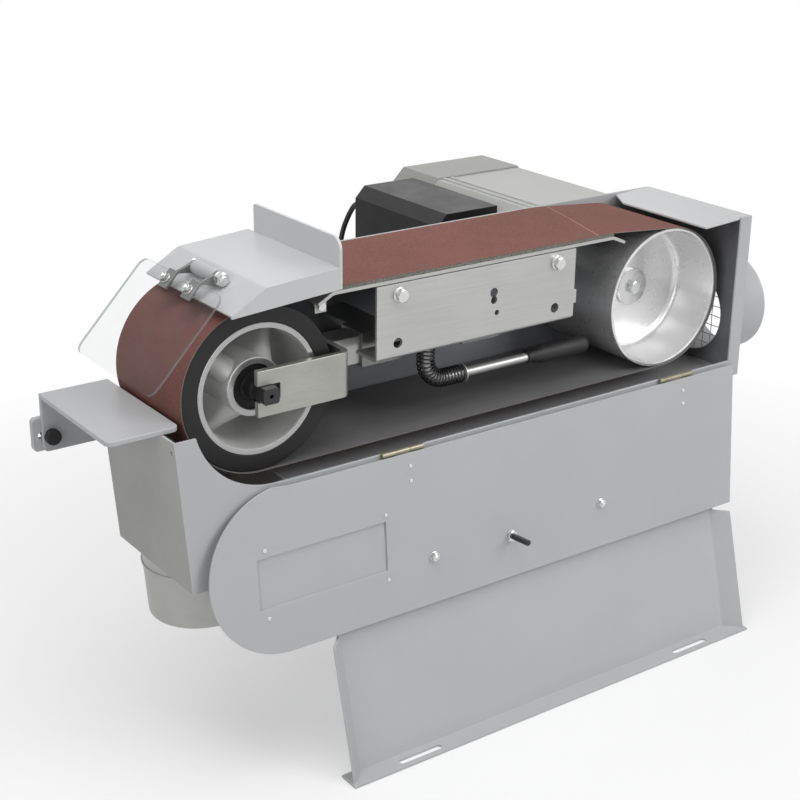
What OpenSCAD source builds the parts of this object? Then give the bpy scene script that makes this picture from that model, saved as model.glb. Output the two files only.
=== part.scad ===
// Bench belt sander: a wide abrasive belt over a contact wheel and a motor drum on a sheet steel base.
// Millimetres, +Z up. X runs from the contact wheel to the motor, Y from the front to the back.
// The origin is midway between the two front foot slots, on the face that rests on the bench.

/* [Head position] */
// Height of the contact wheel's axis above the bench
axis_z = 490; // [460:5:520]
// From the middle of the foot to the contact wheel's axis
wheel_x = 392.5; // [385:0.5:400]
// From the front foot slots back to the front faces of the wheels
face_y = 110; // [105:1:114]

/* [Wheels and belt] */
// Contact wheel diameter over its rubber
wheel_d = 200; // [196:1:200]
// Width of the contact wheel, the drum and the belt
wheel_w = 160; // [156:1:161]
// Thickness of the rubber tyre
tyre_t = 21; // [14:1:22]
// Wall of the aluminium rim under the rubber
rim_t = 6.5; // [5:0.5:8]
// Outside diameter of the wheel's hub
hub_d = 71; // [68:1:80]
// How deep the hub's end face lies in the wheel
hub_inset = 10; // [6:1:11]
// Thickness of a spoke where it meets the rim
spoke_t = 12; // [8:1:16]
// How much each side of a spoke spreads towards the hub
spoke_flare = 11; // [6:1:12]
// How deep the spoke lies in the wheel where it meets the rim
spoke_inset = 48; // [30:1:55]
// Drum diameter
drum_d = 194; // [186:1:196]
// Distance between the contact wheel's axis and the drum's axis
axis_gap = 640; // [636:1:644]
// How far the drum's axis lies below the contact wheel's axis
drum_drop = 3; // [0:0.5:5]
// Belt thickness
belt_t = 1.2; // [0.8:0.1:1.5]
// Running gap between a wheel and the belt that wraps it
belt_gap = 0.3; // [0.2:0.05:0.4]

/* [Axle and bearings] */
// Bearing bore
bearing_bore = 30; // [28:1:32]
// Bearing outside diameter
bearing_d = 55; // [50:1:58]
// Bearing width
bearing_w = 13; // [11:1:15]
// How deep the front bearing sits in the wheel
bearing_inset = 14; // [13:1:18]
// Diameter over the corners of the axle's square ends
axle_end_d = 25; // [23:1:27]
// Width across the flats of the axle's ends
axle_flat = 19; // [17:1:20]
// How far the axle's end stands in front of the wheel
axle_front = 28; // [24:1:30]
// Radial running gap of shafts and pins
running_gap = 0.05; // [0.03:0.01:0.08]

/* [Platen] */
// Height of the platen pad's top above the contact wheel's axis
pad_top = 103.3; // [102:0.1:104]
// Thickness of the graphite pad
pad_t = 3.3; // [2.5:0.1:4]
// Thickness of the steel platen
platen_t = 4; // [3:0.5:5]
// From the contact wheel's axis to the platen's left edge
platen_x0 = 100; // [96:1:104]
// From the contact wheel's axis to the platen's right edge
platen_x1 = 541; // [530:1:545]
// Left edge of the platen bracket
bracket_x0 = 160; // [155:1:170]
// Right edge of the platen bracket
bracket_x1 = 470; // [460:1:475]
// Depth of the bracket's lower flange
bracket_flange = 44; // [42:1:46]

/* [Housing] */
// How far the housing's front face stands in front of the wheels
front_out = 34; // [31:1:37]
// Gap between the back of the wheels and the back plate
back_gap = 8; // [6:1:12]
// Thickness of the back plate
back_t = 5; // [4:0.5:6]
// Outer face of the right wall, from the contact wheel's axis
right_x = 762; // [758:1:768]
// Sheet thickness of the housing and the base
sheet_t = 3; // [2:0.25:3.5]
// Depth of the housing's floor below the contact wheel's axis
floor_drop = 128; // [125:1:131]
// Depth of the front lip's edge below the contact wheel's axis
lip_drop = 104; // [103:0.5:106]
// Width of the flange beside the drum
flange_w = 21; // [18:1:23]
// Outside diameter of both dust spigots
spigot_d = 140; // [130:1:142]
// Length of the side spigot
spigot_l = 78; // [60:1:90]
// Opening in the wall behind the side spigot
outlet_d = 120; // [110:1:124]
// Pitch of the wire net in the outlet
mesh_pitch = 13; // [10:0.5:14]
// Wire of the net
mesh_wire = 1.2; // [1:0.1:2]

/* [Dust chute] */
// Lean of the chute's left wall and of its spigot
chute_lean = 4.7; // [3:0.1:6]
// Depth of the chute's floor below the contact wheel's axis
chute_drop = 215; // [205:1:222]
// Where the chute's left wall meets the level of its top edge
chute_x0 = 128; // [126:1:131]
// Back of the chute, from the wheels' front faces
chute_back = 150; // [148:1:155]
// Length of the spigot under the chute
chute_pipe_l = 78; // [60:1:85]

/* [Wheel cover and guard] */
// Length of the fence across the belt
fence_l = 189; // [175:1:196]
// Height of the fence's top above the contact wheel's axis
fence_top = 172; // [160:1:180]
// Thickness of the fence
fence_t = 4; // [3:0.5:5]
// Outside diameter of the guard's hinge tube
guard_tube_d = 16; // [14:1:17]
// Thickness of the clear screen
screen_t = 3; // [2:0.5:4]
// Length of the clear screen down its slope
screen_l = 135; // [120:1:138]
// Width of the clear screen along the wheel
screen_w = 190; // [175:1:192]

/* [Side door] */
// Height of the door when it is closed
door_h = 206; // [200:1:207]
// Thickness of the door
door_t = 2.5; // [2:0.5:3]
// Angle from closed to the open rest position
door_open = 175; // [170:1:176]
// Right edge of the door, from the contact wheel's axis
door_x1 = 744; // [735:1:748]
// Diameter of the latch stud
stud_d = 8; // [7:0.5:8]
// Height of the latch stud above the contact wheel's axis when closed
latch_z = 48; // [46:0.5:50]

/* [Tension gear] */
// Width across the square slide tube
slide_w = 36; // [34:1:38]
// Wall of the slide tube
slide_wall = 3; // [2.5:0.5:4]
// Diameter of the lever's rod
lever_d = 12; // [11:0.5:13]
// Radius of the lever's bend
lever_bend = 28; // [27:1:32]
// Outside diameter of the rubber grip
grip_d = 25; // [22:1:28]
// Length of the rubber grip
grip_l = 104; // [90:1:110]
// Curls of the spring on the lever
curls = 22; // [14:1:22]
// Wire of the spring on the lever
spring_wire = 2; // [1.5:0.1:2.1]
// Mean diameter of the spring on the lever
spring_d = 22; // [20:0.5:22.5]

/* [Work table] */
// Length of the table from its left edge to the belt side
table_l = 88; // [80:1:92]
// Depth of the table across the belt
table_w = 181; // [170:1:181]
// Thickness of the table
table_t = 6; // [5:0.5:7]
// Depth of the table's top below the contact wheel's axis
table_drop = 19.5; // [16:0.5:22]
// Gap from the belt's side of the table to the contact wheel's axis
table_x1 = 105; // [104.5:0.5:110]
// Diameter of the clamp knob
knob_d = 19; // [16:1:22]

/* [Motor] */
// Half the width of the motor housing
motor_half_w = 100; // [94:1:104]
// Height of the motor's flat top above its axis
motor_top = 92; // [86:1:95]
// Length of the motor housing
motor_l = 224; // [200:1:240]
// Length of the fan cowl
cowl_l = 81; // [70:1:90]
// Diameter of the motor shaft
shaft_d = 25; // [24:0.5:28]
// Left face of the terminal box, from the contact wheel's axis
box_x0 = 430; // [425:1:440]
// Length of the terminal box along the motor
box_l = 203; // [190:1:210]
// Diameter of the lead between the terminal box and the base
lead_d = 8; // [7:0.5:9]

/* [Base] */
// Slope of the front panel, from the vertical
panel_lean = 15.1; // [14:0.1:16]
// Left edge of the front panel, from the contact wheel's axis
panel_x0 = 75; // [70:1:85]
// Width of the side folds of the front panel
side_fold = 29; // [24:1:32]
// Depth of the front foot flange
foot_l = 25; // [24:1:34]
// Length of a foot slot
slot_l = 65; // [50:1:70]
// Width of a foot slot
slot_w = 9; // [8:0.5:10]
// Left side of the column
column_x0 = 262; // [255:1:270]
// Right side of the column
column_x1 = 640; // [630:1:650]
// From the back plate's front face to the back of the column
column_out = 22; // [18:1:24]
// Depth of the rear foot flange
rear_foot = 66; // [56:1:68]

/* [Hidden] */

eps = 0.5;
fine = 96;
wheel_r = wheel_d / 2;
drum_r = drum_d / 2;
rim_r = wheel_r - tyre_t;
hub_r = hub_d / 2;
belt_wheel_r = wheel_r + belt_gap;
belt_drum_r = drum_r + belt_gap;
front_face = -front_out;
platen_top = pad_top - pad_t;
platen_under = platen_top - platen_t;
wall_in = right_x - sheet_t;
back_y = wheel_w + back_gap;
column_y = back_y + column_out;
tray_x0 = 40;

function arc(cx, cy, r, a0, a1, n = 8) =
    [for (i = [0:n]) let (a = a0 + (a1 - a0) * i / n) [cx + r * cos(a), cy + r * sin(a)]];
function round_rect(x0, y0, x1, y1, r) = concat(
    arc(x1 - r, y0 + r, r, -90, 0),
    arc(x1 - r, y1 - r, r, 0, 90),
    arc(x0 + r, y1 - r, r, 90, 180),
    arc(x0 + r, y0 + r, r, 180, 270));
function slot_outline(cx, cy, l, w) = concat(
    arc(cx + (l - w) / 2, cy, w / 2, -90, 90, 10),
    arc(cx - (l - w) / 2, cy, w / 2, 90, 270, 10));
function unit(v) = v / norm(v);
function left_of(v) = [-v[1], v[0]];
function turn(u, v) = atan2(u[0] * v[1] - u[1] * v[0], u[0] * v[0] + u[1] * v[1]);
function reversed(p) = [for (i = [len(p) - 1:-1:0]) p[i]];
// A path with rounded bends of radius r, set off to its left by d
function bent_path(p, r, d, n = 6) = let (last = len(p) - 1) concat(
    [p[0] + d * left_of(unit(p[1] - p[0]))],
    [for (i = [1:last - 1])
        let (u = unit(p[i] - p[i - 1]), v = unit(p[i + 1] - p[i]), t = turn(u, v), s = sign(t),
            c = p[i] - r * tan(abs(t) / 2) * u + s * r * left_of(u),
            a0 = atan2(u[1], u[0]) - s * 90)
        each arc(c[0], c[1], r - s * d, a0, a0 + t, n)],
    [p[last] + d * left_of(unit(p[last] - p[last - 1]))]);
// A bent sheet: its visible face follows p and its thickness t lies to the left of it
function bent_sheet(p, r, t) = concat(bent_path(p, r, 0), reversed(bent_path(p, r, t)));

module at_head() {
    translate([-wheel_x, face_y, axis_z]) children();
}
// Extrudes an outline in X and Z from y0 back to y1
module xz(y0, y1) {
    translate([0, y1, 0]) rotate([90, 0, 0]) linear_extrude(y1 - y0) children();
}
// Extrudes an outline in Y and Z from x0 right to x1
module yz(x0, x1) {
    translate([x0, 0, 0]) rotate([90, 0, 90]) linear_extrude(x1 - x0) children();
}
module rod_y(d, y0, y1, n = 48) {
    translate([0, y1, 0]) rotate([90, 0, 0]) cylinder(d = d, h = y1 - y0, $fn = n);
}
module rod_x(d, x0, x1, n = 48) {
    translate([x0, 0, 0]) rotate([0, 90, 0]) cylinder(d = d, h = x1 - x0, $fn = n);
}
module rod_z(d, z0, z1, n = 48) {
    translate([0, 0, z0]) cylinder(d = d, h = z1 - z0, $fn = n);
}
module box(p0, p1) {
    translate(p0) cube([for (i = [0:2]) p1[i] - p0[i]]);
}
module ring_y(d_out, d_in, y0, y1, n = 48) {
    difference() {
        rod_y(d_out, y0, y1, n);
        rod_y(d_in, y0 - eps, y1 + eps, n);
    }
}
// The space of a slot with round ends, its middle at cx and cy
module slot_space(cx, cy, l, w, z0, z1) {
    for (s = [-1, 1]) translate([cx + s * (l - w) / 2, cy, 0]) rod_z(w, z0, z1, 32);
    box([cx - (l - w) / 2, cy - w / 2, z0], [cx + (l - w) / 2, cy + w / 2, z1]);
}
module hex_y(across, y0, y1) {
    translate([0, y1, 0]) rotate([90, 30, 0]) cylinder(d = across / cos(30), h = y1 - y0, $fn = 6);
}

// Base
panel_top_y = 1;
panel_run = (axis_z - floor_drop) * tan(panel_lean);
function panel_y(z) = panel_top_y + (z + floor_drop) * tan(panel_lean);
panel_x1 = 2 * wheel_x - panel_x0;
foot_bend_y = panel_y(-axis_z);
panel_skin = sheet_t / cos(panel_lean);
slot_y = -face_y;
front_slot_x = 235.5;
rear_slot_x = [330, 575];
rear_slot_y = column_y + 53;
rear_foot_x = [305, 600];
fold_run = side_fold * cos(45);
foot_side = 4;
foot_back = foot_bend_y + sheet_t + 2;
base_top = -floor_drop - 6;
// The side folds end below the edge of the door that hangs in front of them
fold_top = -lip_drop - door_h - 10;
module base_panel() {
    color([0.69, 0.69, 0.7]) at_head() difference() {
        union() {
            intersection() {
                translate([0, foot_bend_y, -axis_z]) rotate([-panel_lean, 0, 0]) translate([0, 0, -50])
                    linear_extrude(axis_z) polygon(bent_sheet([
                        [panel_x0 - fold_run, -fold_run], [panel_x0, 0], [panel_x1, 0],
                        [panel_x1 + fold_run, -fold_run]], 5, sheet_t));
                box([0, -300, -axis_z + sheet_t], [right_x, 100, base_top]);
            }
            box([panel_x0 - fold_run - foot_side, foot_bend_y - foot_l, -axis_z],
                [panel_x1 + fold_run + foot_side, foot_back, -axis_z + sheet_t]);
        }
        box([0, -300, fold_top], [panel_x0 - 3.5, 100, base_top + eps]);
        box([panel_x1 + 3.5, -300, fold_top], [right_x + eps, 100, base_top + eps]);
        for (s = [-1, 1])
            slot_space(wheel_x + s * front_slot_x, slot_y, slot_l, slot_w,
                -axis_z - eps, -axis_z + sheet_t + eps);
    }
}
module base_column() {
    back = column_y - sheet_t;
    side = [[foot_back, -axis_z], [back, -axis_z],
        [back, base_top], [panel_y(base_top) + panel_skin, base_top],
        [panel_y(-axis_z + sheet_t) + panel_skin, -axis_z + sheet_t], [foot_back, -axis_z + sheet_t]];
    color([0.66, 0.66, 0.67]) at_head() difference() {
        union() {
            for (x = [column_x0, column_x1 - sheet_t]) yz(x, x + sheet_t) polygon(side);
            box([column_x0, back, -axis_z], [column_x1, column_y, base_top]);
            box([rear_foot_x[0], back, -axis_z], [rear_foot_x[1], column_y + rear_foot, -axis_z + sheet_t]);
        }
        for (x = rear_slot_x)
            slot_space(x, rear_slot_y, 30, slot_w, -axis_z - eps, -axis_z + sheet_t + eps);
        translate([gland_x, 0, base_gland_z]) rod_y(gland_hole, back - eps, column_y + eps);
    }
}
module base_top_plate() {
    color([0.66, 0.66, 0.67]) at_head()
        box([panel_x0, panel_y(base_top), base_top], [panel_x1, column_y, -floor_drop]);
}

// Housing
plate_window = 45;
plate_x0 = -10;
plate_top = drum_r + 5.5;
plate_edge = plate_top - 1.5;
outlet_y = 65;
outlet_z = -55;
module back_plate() {
    color([0.68, 0.68, 0.69]) at_head() difference() {
        xz(back_y, back_y + back_t) polygon([
            [tray_x0, -floor_drop], [right_x, -floor_drop], [right_x, plate_edge],
            [plate_x0, plate_edge], [plate_x0, plate_window], [fork_x1 + 10, plate_window],
            [fork_x1 + 10, -plate_window], [tray_x0, -plate_window]]);
        translate([axis_gap, 0, -drum_drop]) rod_y(80, back_y - eps, back_y + back_t + eps);
    }
}
module housing_front() {
    color([0.69, 0.69, 0.7]) at_head() xz(front_face, front_face + sheet_t) polygon([
        [tray_x0, -floor_drop], [right_x, -floor_drop], [right_x, plate_top],
        [right_x - flange_w, plate_top], [right_x - flange_w, -lip_drop], [tray_x0, -lip_drop]]);
}
module housing_tray() {
    color([0.6, 0.6, 0.61]) at_head()
        box([tray_x0, front_face + sheet_t, -floor_drop], [wall_in, back_y, -floor_drop + sheet_t]);
}
module right_wall() {
    color([0.66, 0.66, 0.67]) at_head() difference() {
        box([wall_in, front_face + sheet_t, -floor_drop], [right_x, back_y, plate_top - sheet_t - 5]);
        translate([0, outlet_y, outlet_z]) rod_x(outlet_d, wall_in - eps, right_x + eps, fine);
    }
}
end_cover_x0 = 677;
end_cover_rise = 5;
end_cover_cut = [21, 37];
module top_end_cover() {
    slope = end_cover_rise / (right_x - end_cover_x0);
    color([0.78, 0.78, 0.78]) at_head() intersection() {
        xz(front_face + sheet_t, back_y) polygon([
            [end_cover_x0, plate_top - end_cover_rise - sheet_t],
            [wall_in, plate_top - sheet_t - slope * sheet_t],
            [wall_in, plate_top - sheet_t - 5], [right_x, plate_top - sheet_t - 5],
            [right_x, plate_top], [end_cover_x0, plate_top - end_cover_rise]]);
        translate([0, 0, -eps]) linear_extrude(plate_top + 2 * eps) polygon([
            [end_cover_x0, front_face], [right_x, front_face], [right_x, back_y],
            [end_cover_x0 + end_cover_cut[0], back_y], [end_cover_x0, back_y - end_cover_cut[1]]]);
    }
}
module outlet_spigot() {
    color([0.66, 0.66, 0.67]) at_head() translate([0, outlet_y, outlet_z]) difference() {
        rod_x(spigot_d, right_x, right_x + spigot_l, fine);
        rod_x(spigot_d - 2 * sheet_t, right_x - eps, right_x + spigot_l + eps, fine);
    }
}
module outlet_mesh() {
    reach = outlet_d / 2;
    steps = floor(reach / mesh_pitch - 0.25);
    half = function (k) sqrt(pow(reach, 2) - pow(abs(k * mesh_pitch) + mesh_wire / 2, 2)) - 0.05;
    x0 = wall_in + 0.2;
    color([0.7, 0.7, 0.7]) at_head() translate([0, outlet_y, outlet_z]) for (k = [-steps:steps]) {
        box([x0, k * mesh_pitch - mesh_wire / 2, -half(k)],
            [x0 + mesh_wire, k * mesh_pitch + mesh_wire / 2, half(k)]);
        box([x0 + mesh_wire / 2, -half(k), k * mesh_pitch - mesh_wire / 2],
            [x0 + mesh_wire * 1.4, half(k), k * mesh_pitch + mesh_wire / 2]);
    }
}

// Dust chute under the contact wheel
chute_top = -table_drop - table_t - 0.5;
lean = tan(chute_lean);
chute_arc_r = wheel_r + 4;
function chute_x(z) = -chute_x0 - (z - chute_top) * lean;
pipe_x = -42;
pipe_y = 80;
pipe_bore = spigot_d - 2 * sheet_t;
// A bead round the spigot that stops the hose
bead = 1.5;
bead_at = 12;
chute_outline = concat(
    [[chute_x(-chute_drop), -chute_drop], [tray_x0, -chute_drop], [tray_x0, -lip_drop]],
    arc(0, 0, chute_arc_r, -90, -180 + asin(-chute_top / chute_arc_r), 24),
    [[chute_x(chute_top), chute_top]]);
module dust_chute() {
    floor_in = -chute_drop + sheet_t;
    color([0.66, 0.66, 0.66]) at_head() difference() {
        union() {
            xz(front_face, front_face + sheet_t) polygon(chute_outline);
            xz(chute_back - sheet_t, chute_back) polygon(chute_outline);
            xz(front_face, chute_back) polygon([
                [chute_x(chute_top), chute_top],
                [chute_x(-chute_drop), -chute_drop],
                [chute_x(-chute_drop) + sheet_t, -chute_drop],
                [chute_x(chute_top) + sheet_t, chute_top]]);
            box([tray_x0 - sheet_t, front_face, -chute_drop], [tray_x0, chute_back, -floor_drop + sheet_t]);
            box([chute_x(-chute_drop) + eps, front_face, -chute_drop], [tray_x0, chute_back, floor_in]);
        }
        translate([pipe_x, pipe_y, -chute_drop]) rotate([0, -chute_lean, 0])
            rod_z(pipe_bore, -30, 30, fine);
        translate([-132, front_face + 9, chute_top - 14]) rod_x(5, 0, 20, 24);
    }
}
module chute_spigot() {
    color([0.64, 0.65, 0.62]) at_head() translate([pipe_x, pipe_y, -chute_drop]) difference() {
        intersection() {
            rotate([0, -chute_lean, 0]) union() {
                rod_z(spigot_d, -chute_pipe_l, 20, fine);
                rod_z(spigot_d + 2 * bead, -bead_at, 3 - bead_at, fine);
            }
            translate([-spigot_d, -spigot_d, -2 * chute_pipe_l])
                cube([2 * spigot_d, 2 * spigot_d, 2 * chute_pipe_l]);
        }
        rotate([0, -chute_lean, 0]) rod_z(pipe_bore, -chute_pipe_l - 1, 21, fine);
    }
}

// Cover over the contact wheel, its fence and the swing guard
cover_p0 = [-51.5, 105];
cover_p1 = [-8, 130.5];
cover_p2 = [88, 137.5];
cover_end_x = cover_p2[0];
cover_u = unit(cover_p1 - cover_p0);
skirt_p0 = [-51.5, 102];
skirt_p1 = [2, 105.5];
skirt_p2 = [88, 112];
module wheel_cover() {
    color([0.78, 0.78, 0.78]) at_head() union() {
        intersection() {
            xz(front_face, back_y)
                polygon(reversed(bent_sheet([cover_p0, cover_p1, cover_p2], 12, -sheet_t)));
            box([-wheel_r, front_face, 0], [cover_end_x, back_y, fence_top]);
        }
        xz(front_face, front_face + sheet_t) polygon([skirt_p0, skirt_p1, skirt_p2, cover_p2 - [0, 1],
            cover_p1 - [1, 2], cover_p0 - [0, 1]]);
        xz(back_y - sheet_t, back_y) polygon([[plate_x0, 60], [cover_end_x, 60], cover_p2 - [0, 1],
            cover_p1 + [10, -1.5], [plate_x0, cover_p1[1] - 4]]);
    }
}
module fence() {
    y1 = front_face + fence_l;
    color([0.69, 0.69, 0.7]) at_head() yz(cover_end_x, cover_end_x + fence_t) polygon(concat(
        arc(front_face + 15, fence_top - 15, 15, 180, 90),
        arc(y1 - 4, fence_top - 4, 4, 90, 0),
        [[y1, skirt_p2[1]], [front_face, skirt_p2[1]]]));
}
cover_n = left_of(cover_u);
pivot_s = 31.8;
guard_pivot = cover_p0 + pivot_s * cover_u + guard_tube_d / 2 * cover_n;
tube_y = [38.5, 87.5];
pivot_bolt_d = 10;
module guard_tube() {
    foot = cover_p0 + pivot_s * cover_u;
    color([0.66, 0.66, 0.67]) at_head() difference() {
        union() {
            translate([guard_pivot[0], 0, guard_pivot[1]]) rod_y(guard_tube_d, tube_y[0], tube_y[1]);
            xz(tube_y[0], tube_y[1]) polygon([foot - 5 * cover_u, foot + 5 * cover_u,
                foot + 4 * cover_u + 6 * cover_n, foot - 4 * cover_u + 6 * cover_n]);
        }
        translate([guard_pivot[0], 0, guard_pivot[1]])
            rod_y(pivot_bolt_d + 0.1, tube_y[0] - eps, tube_y[1] + eps);
    }
}
link_t = 4;
link_gap = 0.3;
near_link = tube_y[0] - link_gap;
far_link = tube_y[1] + link_gap;
module guard_pivot_bolt() {
    color([0.75, 0.75, 0.75]) at_head() translate([guard_pivot[0], 0, guard_pivot[1]]) union() {
        rod_y(pivot_bolt_d, near_link - link_t - 13, far_link + link_t + 4);
        rod_y(15.4, near_link - link_t - 2.3, near_link - link_t - 0.3);
        hex_y(15, near_link - link_t - 10.3, near_link - link_t - 2.3);
        hex_y(15, far_link + link_t + 0.3, far_link + link_t + 6);
    }
}
screen_top = [-49, 121];
screen_u = unit([-93, -98]);
screen_n = [screen_u[1], -screen_u[0]];
screen_y0 = -15;
function screen_at(s, h) = screen_top + s * screen_u + h * screen_n;
foot_s = [-2, 22];
screw_s = 11;
foot_t = 3;
module guard_links() {
    eye_r = guard_tube_d / 2 - 0.4;
    color([0.6, 0.61, 0.62]) at_head() for (y = [near_link - link_t, far_link]) difference() {
        union() {
            translate([guard_pivot[0], 0, guard_pivot[1]]) rod_y(2 * eye_r, y, y + link_t);
            xz(y, y + link_t) polygon([
                guard_pivot + eye_r * [cos(75), sin(75)], screen_at(foot_s[0], screen_t + foot_t),
                screen_at(foot_s[1], screen_t + foot_t), screen_at(foot_s[1], screen_t),
                screen_at(-0.5, screen_t), guard_pivot + eye_r * [cos(250), sin(250)]]);
            xz(y, y + link_t + 14) polygon([
                screen_at(foot_s[0], screen_t), screen_at(foot_s[1], screen_t),
                screen_at(foot_s[1], screen_t + foot_t), screen_at(foot_s[0], screen_t + foot_t)]);
        }
        translate([guard_pivot[0], 0, guard_pivot[1]])
            rod_y(pivot_bolt_d + 2 * running_gap, y - eps, y + link_t + eps);
        translate([screen_at(screw_s, 0)[0], y + link_t + 7, screen_at(screw_s, 0)[1]])
            rotate([0, screen_tilt, 0]) rod_z(6.2, -eps, 20);
    }
}
screen_tilt = -atan2(-screen_n[0], screen_n[1]);
module guard_screen() {
    color([0.85, 0.9, 0.92, 0.4]) at_head() difference() {
        translate([screen_top[0], screen_y0, screen_top[1]]) rotate([0, screen_tilt, 0])
            mirror([1, 0, 0]) linear_extrude(screen_t) polygon(round_rect(0, 0, screen_l, screen_w, 12));
        for (y = [near_link, far_link + link_t])
            translate([screen_at(screw_s, 0)[0], y + 7, screen_at(screw_s, 0)[1]])
                rotate([0, screen_tilt, 0]) rod_z(6.2, -eps, 20);
    }
}
module guard_screws() {
    color([0.78, 0.78, 0.78]) at_head() for (y = [near_link, far_link + link_t])
        translate([screen_at(screw_s, 0)[0], y + 7, screen_at(screw_s, 0)[1]])
            rotate([0, screen_tilt, 0]) union() {
            rod_z(6, -1, screen_t + foot_t + 9);
            rod_z(11, -3.5, 0);
            translate([0, 0, screen_t + foot_t]) cylinder(d = 10 / cos(30), h = 5, $fn = 6);
        }
}

// Side door, drawn closed and then let down about its hinge
hinge_r = 3;
hinge_y = front_face - hinge_r - 0.2;
hinge_z = -lip_drop - 0.5;
door_in = front_face - 0.3;
door_out = door_in - door_t;
door_z0 = hinge_z + 4;
door_z1 = door_z0 + door_h;
door_r = (door_z1 - hinge_z) / 2;
door_cx = 6;
window_x = [-36, 145];
window_z = [hinge_z + 83.5, hinge_z + 147.5];
hinge_x = [145, 604];
hinge_l = 61;
pin_d = 3;
module at_door() {
    at_head() translate([0, hinge_y, hinge_z]) rotate([door_open, 0, 0]) translate([0, -hinge_y, -hinge_z])
        children();
}
module side_door() {
    color([0.69, 0.69, 0.7]) at_door() difference() {
        xz(door_out, door_in) polygon(concat(
            [[door_x1, door_z0], [door_x1, door_z1]],
            arc(door_cx, hinge_z + door_r, door_r, 90, 262, 40),
            [[door_cx + 10, door_z0]]));
        xz(door_out - eps, door_in + eps) polygon([
            [window_x[0], window_z[0]], [window_x[1], window_z[0]],
            [window_x[1], window_z[1]], [window_x[0], window_z[1]]]);
        translate([latch_x, 0, latch_z]) rod_y(stud_d + 2 * running_gap, door_out - eps, door_in + eps, 32);
        for (x = pull_x) translate([x, 0, pull_z]) rod_y(6.2, door_out - eps, door_in + eps, 32);
    }
}
module door_window() {
    color([0.66, 0.66, 0.66]) at_door() xz(door_out - 2, door_out) polygon(round_rect(
        window_x[0] - 13, window_z[0] - 14, window_x[1] + 13, window_z[1] + 16, 4));
}
module door_hinges() {
    color([0.7, 0.7, 0.7]) at_head() for (x = hinge_x) difference() {
        union() {
            for (k = [0, 2]) translate([0, hinge_y, hinge_z]) rod_x(2 * hinge_r, x + k * hinge_l / 3 + 0.15,
                x + (k + 1) * hinge_l / 3 - 0.15, 32);
            box([x, front_face - 1.5, -floor_drop + 3], [x + hinge_l, front_face, hinge_z - hinge_r]);
            for (k = [0, 2]) box([x + k * hinge_l / 3 + 0.15, front_face - 1.5, hinge_z - hinge_r - 1],
                [x + (k + 1) * hinge_l / 3 - 0.15, front_face - 0.2, hinge_z]);
        }
        translate([0, hinge_y, hinge_z]) rod_x(pin_d, x - eps, x + hinge_l + eps, 32);
    }
}
module door_leaves() {
    color([0.72, 0.72, 0.72]) at_door() for (x = hinge_x) union() {
        difference() {
            union() {
                translate([0, hinge_y, hinge_z]) rod_x(2 * hinge_r, x + hinge_l / 3 + 0.15,
                    x + 2 * hinge_l / 3 - 0.15, 32);
                box([x + hinge_l / 3 + 0.15, door_out - 1.5, hinge_z],
                    [x + 2 * hinge_l / 3 - 0.15, door_out, door_z0 + 1]);
                box([x, door_out - 1.5, door_z0], [x + hinge_l, door_out, door_z0 + 44]);
            }
            translate([0, hinge_y, hinge_z]) rod_x(pin_d - 0.2, x, x + hinge_l, 32);
        }
        translate([0, hinge_y, hinge_z]) rod_x(pin_d - 0.1, x + 0.5, x + hinge_l - 0.5, 32);
    }
}
rivet_spots = [
    [window_x[0] + 11, window_z[0] - 9], [window_x[1], window_z[0] - 9],
    [window_x[0] + 11, window_z[1] + 12], [window_x[1], window_z[1] + 12],
    [184.5, hinge_z + 21], [184.5, hinge_z + 40], [646, hinge_z + 21], [646, hinge_z + 40]];
module door_rivets() {
    color([0.78, 0.78, 0.78]) at_door() for (p = rivet_spots)
        translate([p[0], 0, p[1]]) rod_y(5, door_in, door_in + 1.2, 24);
}
latch_x = 338;
bracket_y = -4;
module door_latch() {
    color([0.2, 0.2, 0.2]) at_door() translate([latch_x, 0, latch_z]) union() {
        rod_y(stud_d, door_out - 1, 2, 32);
        hex_y(13, door_in + 0.2, door_in + 6.5);
        rod_y(24, door_out - 12, door_out - 0.3, 32);
        box([-3, door_out - 14, -9], [3, door_out - 11, 9]);
    }
}
pull_x = [214.5, 493];
pull_z = hinge_z + 147;
module door_pull() {
    lip = 10;
    y0 = door_out;
    color([0.66, 0.66, 0.66]) at_door() difference() {
        yz(pull_x[0] - 16, pull_x[1] + 16) polygon(reversed(bent_sheet([
            [y0, pull_z - 10], [y0, pull_z + 14], [y0 - lip, pull_z + 14], [y0 - lip, pull_z + 24]], 3, 2)));
        for (x = pull_x) translate([x, 0, pull_z]) rod_y(6.2, y0 - 5, y0 + eps, 32);
        translate([latch_x, 0, latch_z]) rod_y(30, y0 - 20, y0 + eps, 48);
    }
}
module door_nuts() {
    color([0.78, 0.78, 0.78]) at_door() for (x = pull_x) translate([x, 0, pull_z]) union() {
        rod_y(6, door_out - 3.5, door_in + 8, 32);
        rod_y(13, door_in, door_in + 1.2, 32);
        hex_y(10, door_in + 1.2, door_in + 6);
        rod_y(10, door_out - 5, door_out - 2, 32);
    }
}

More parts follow.
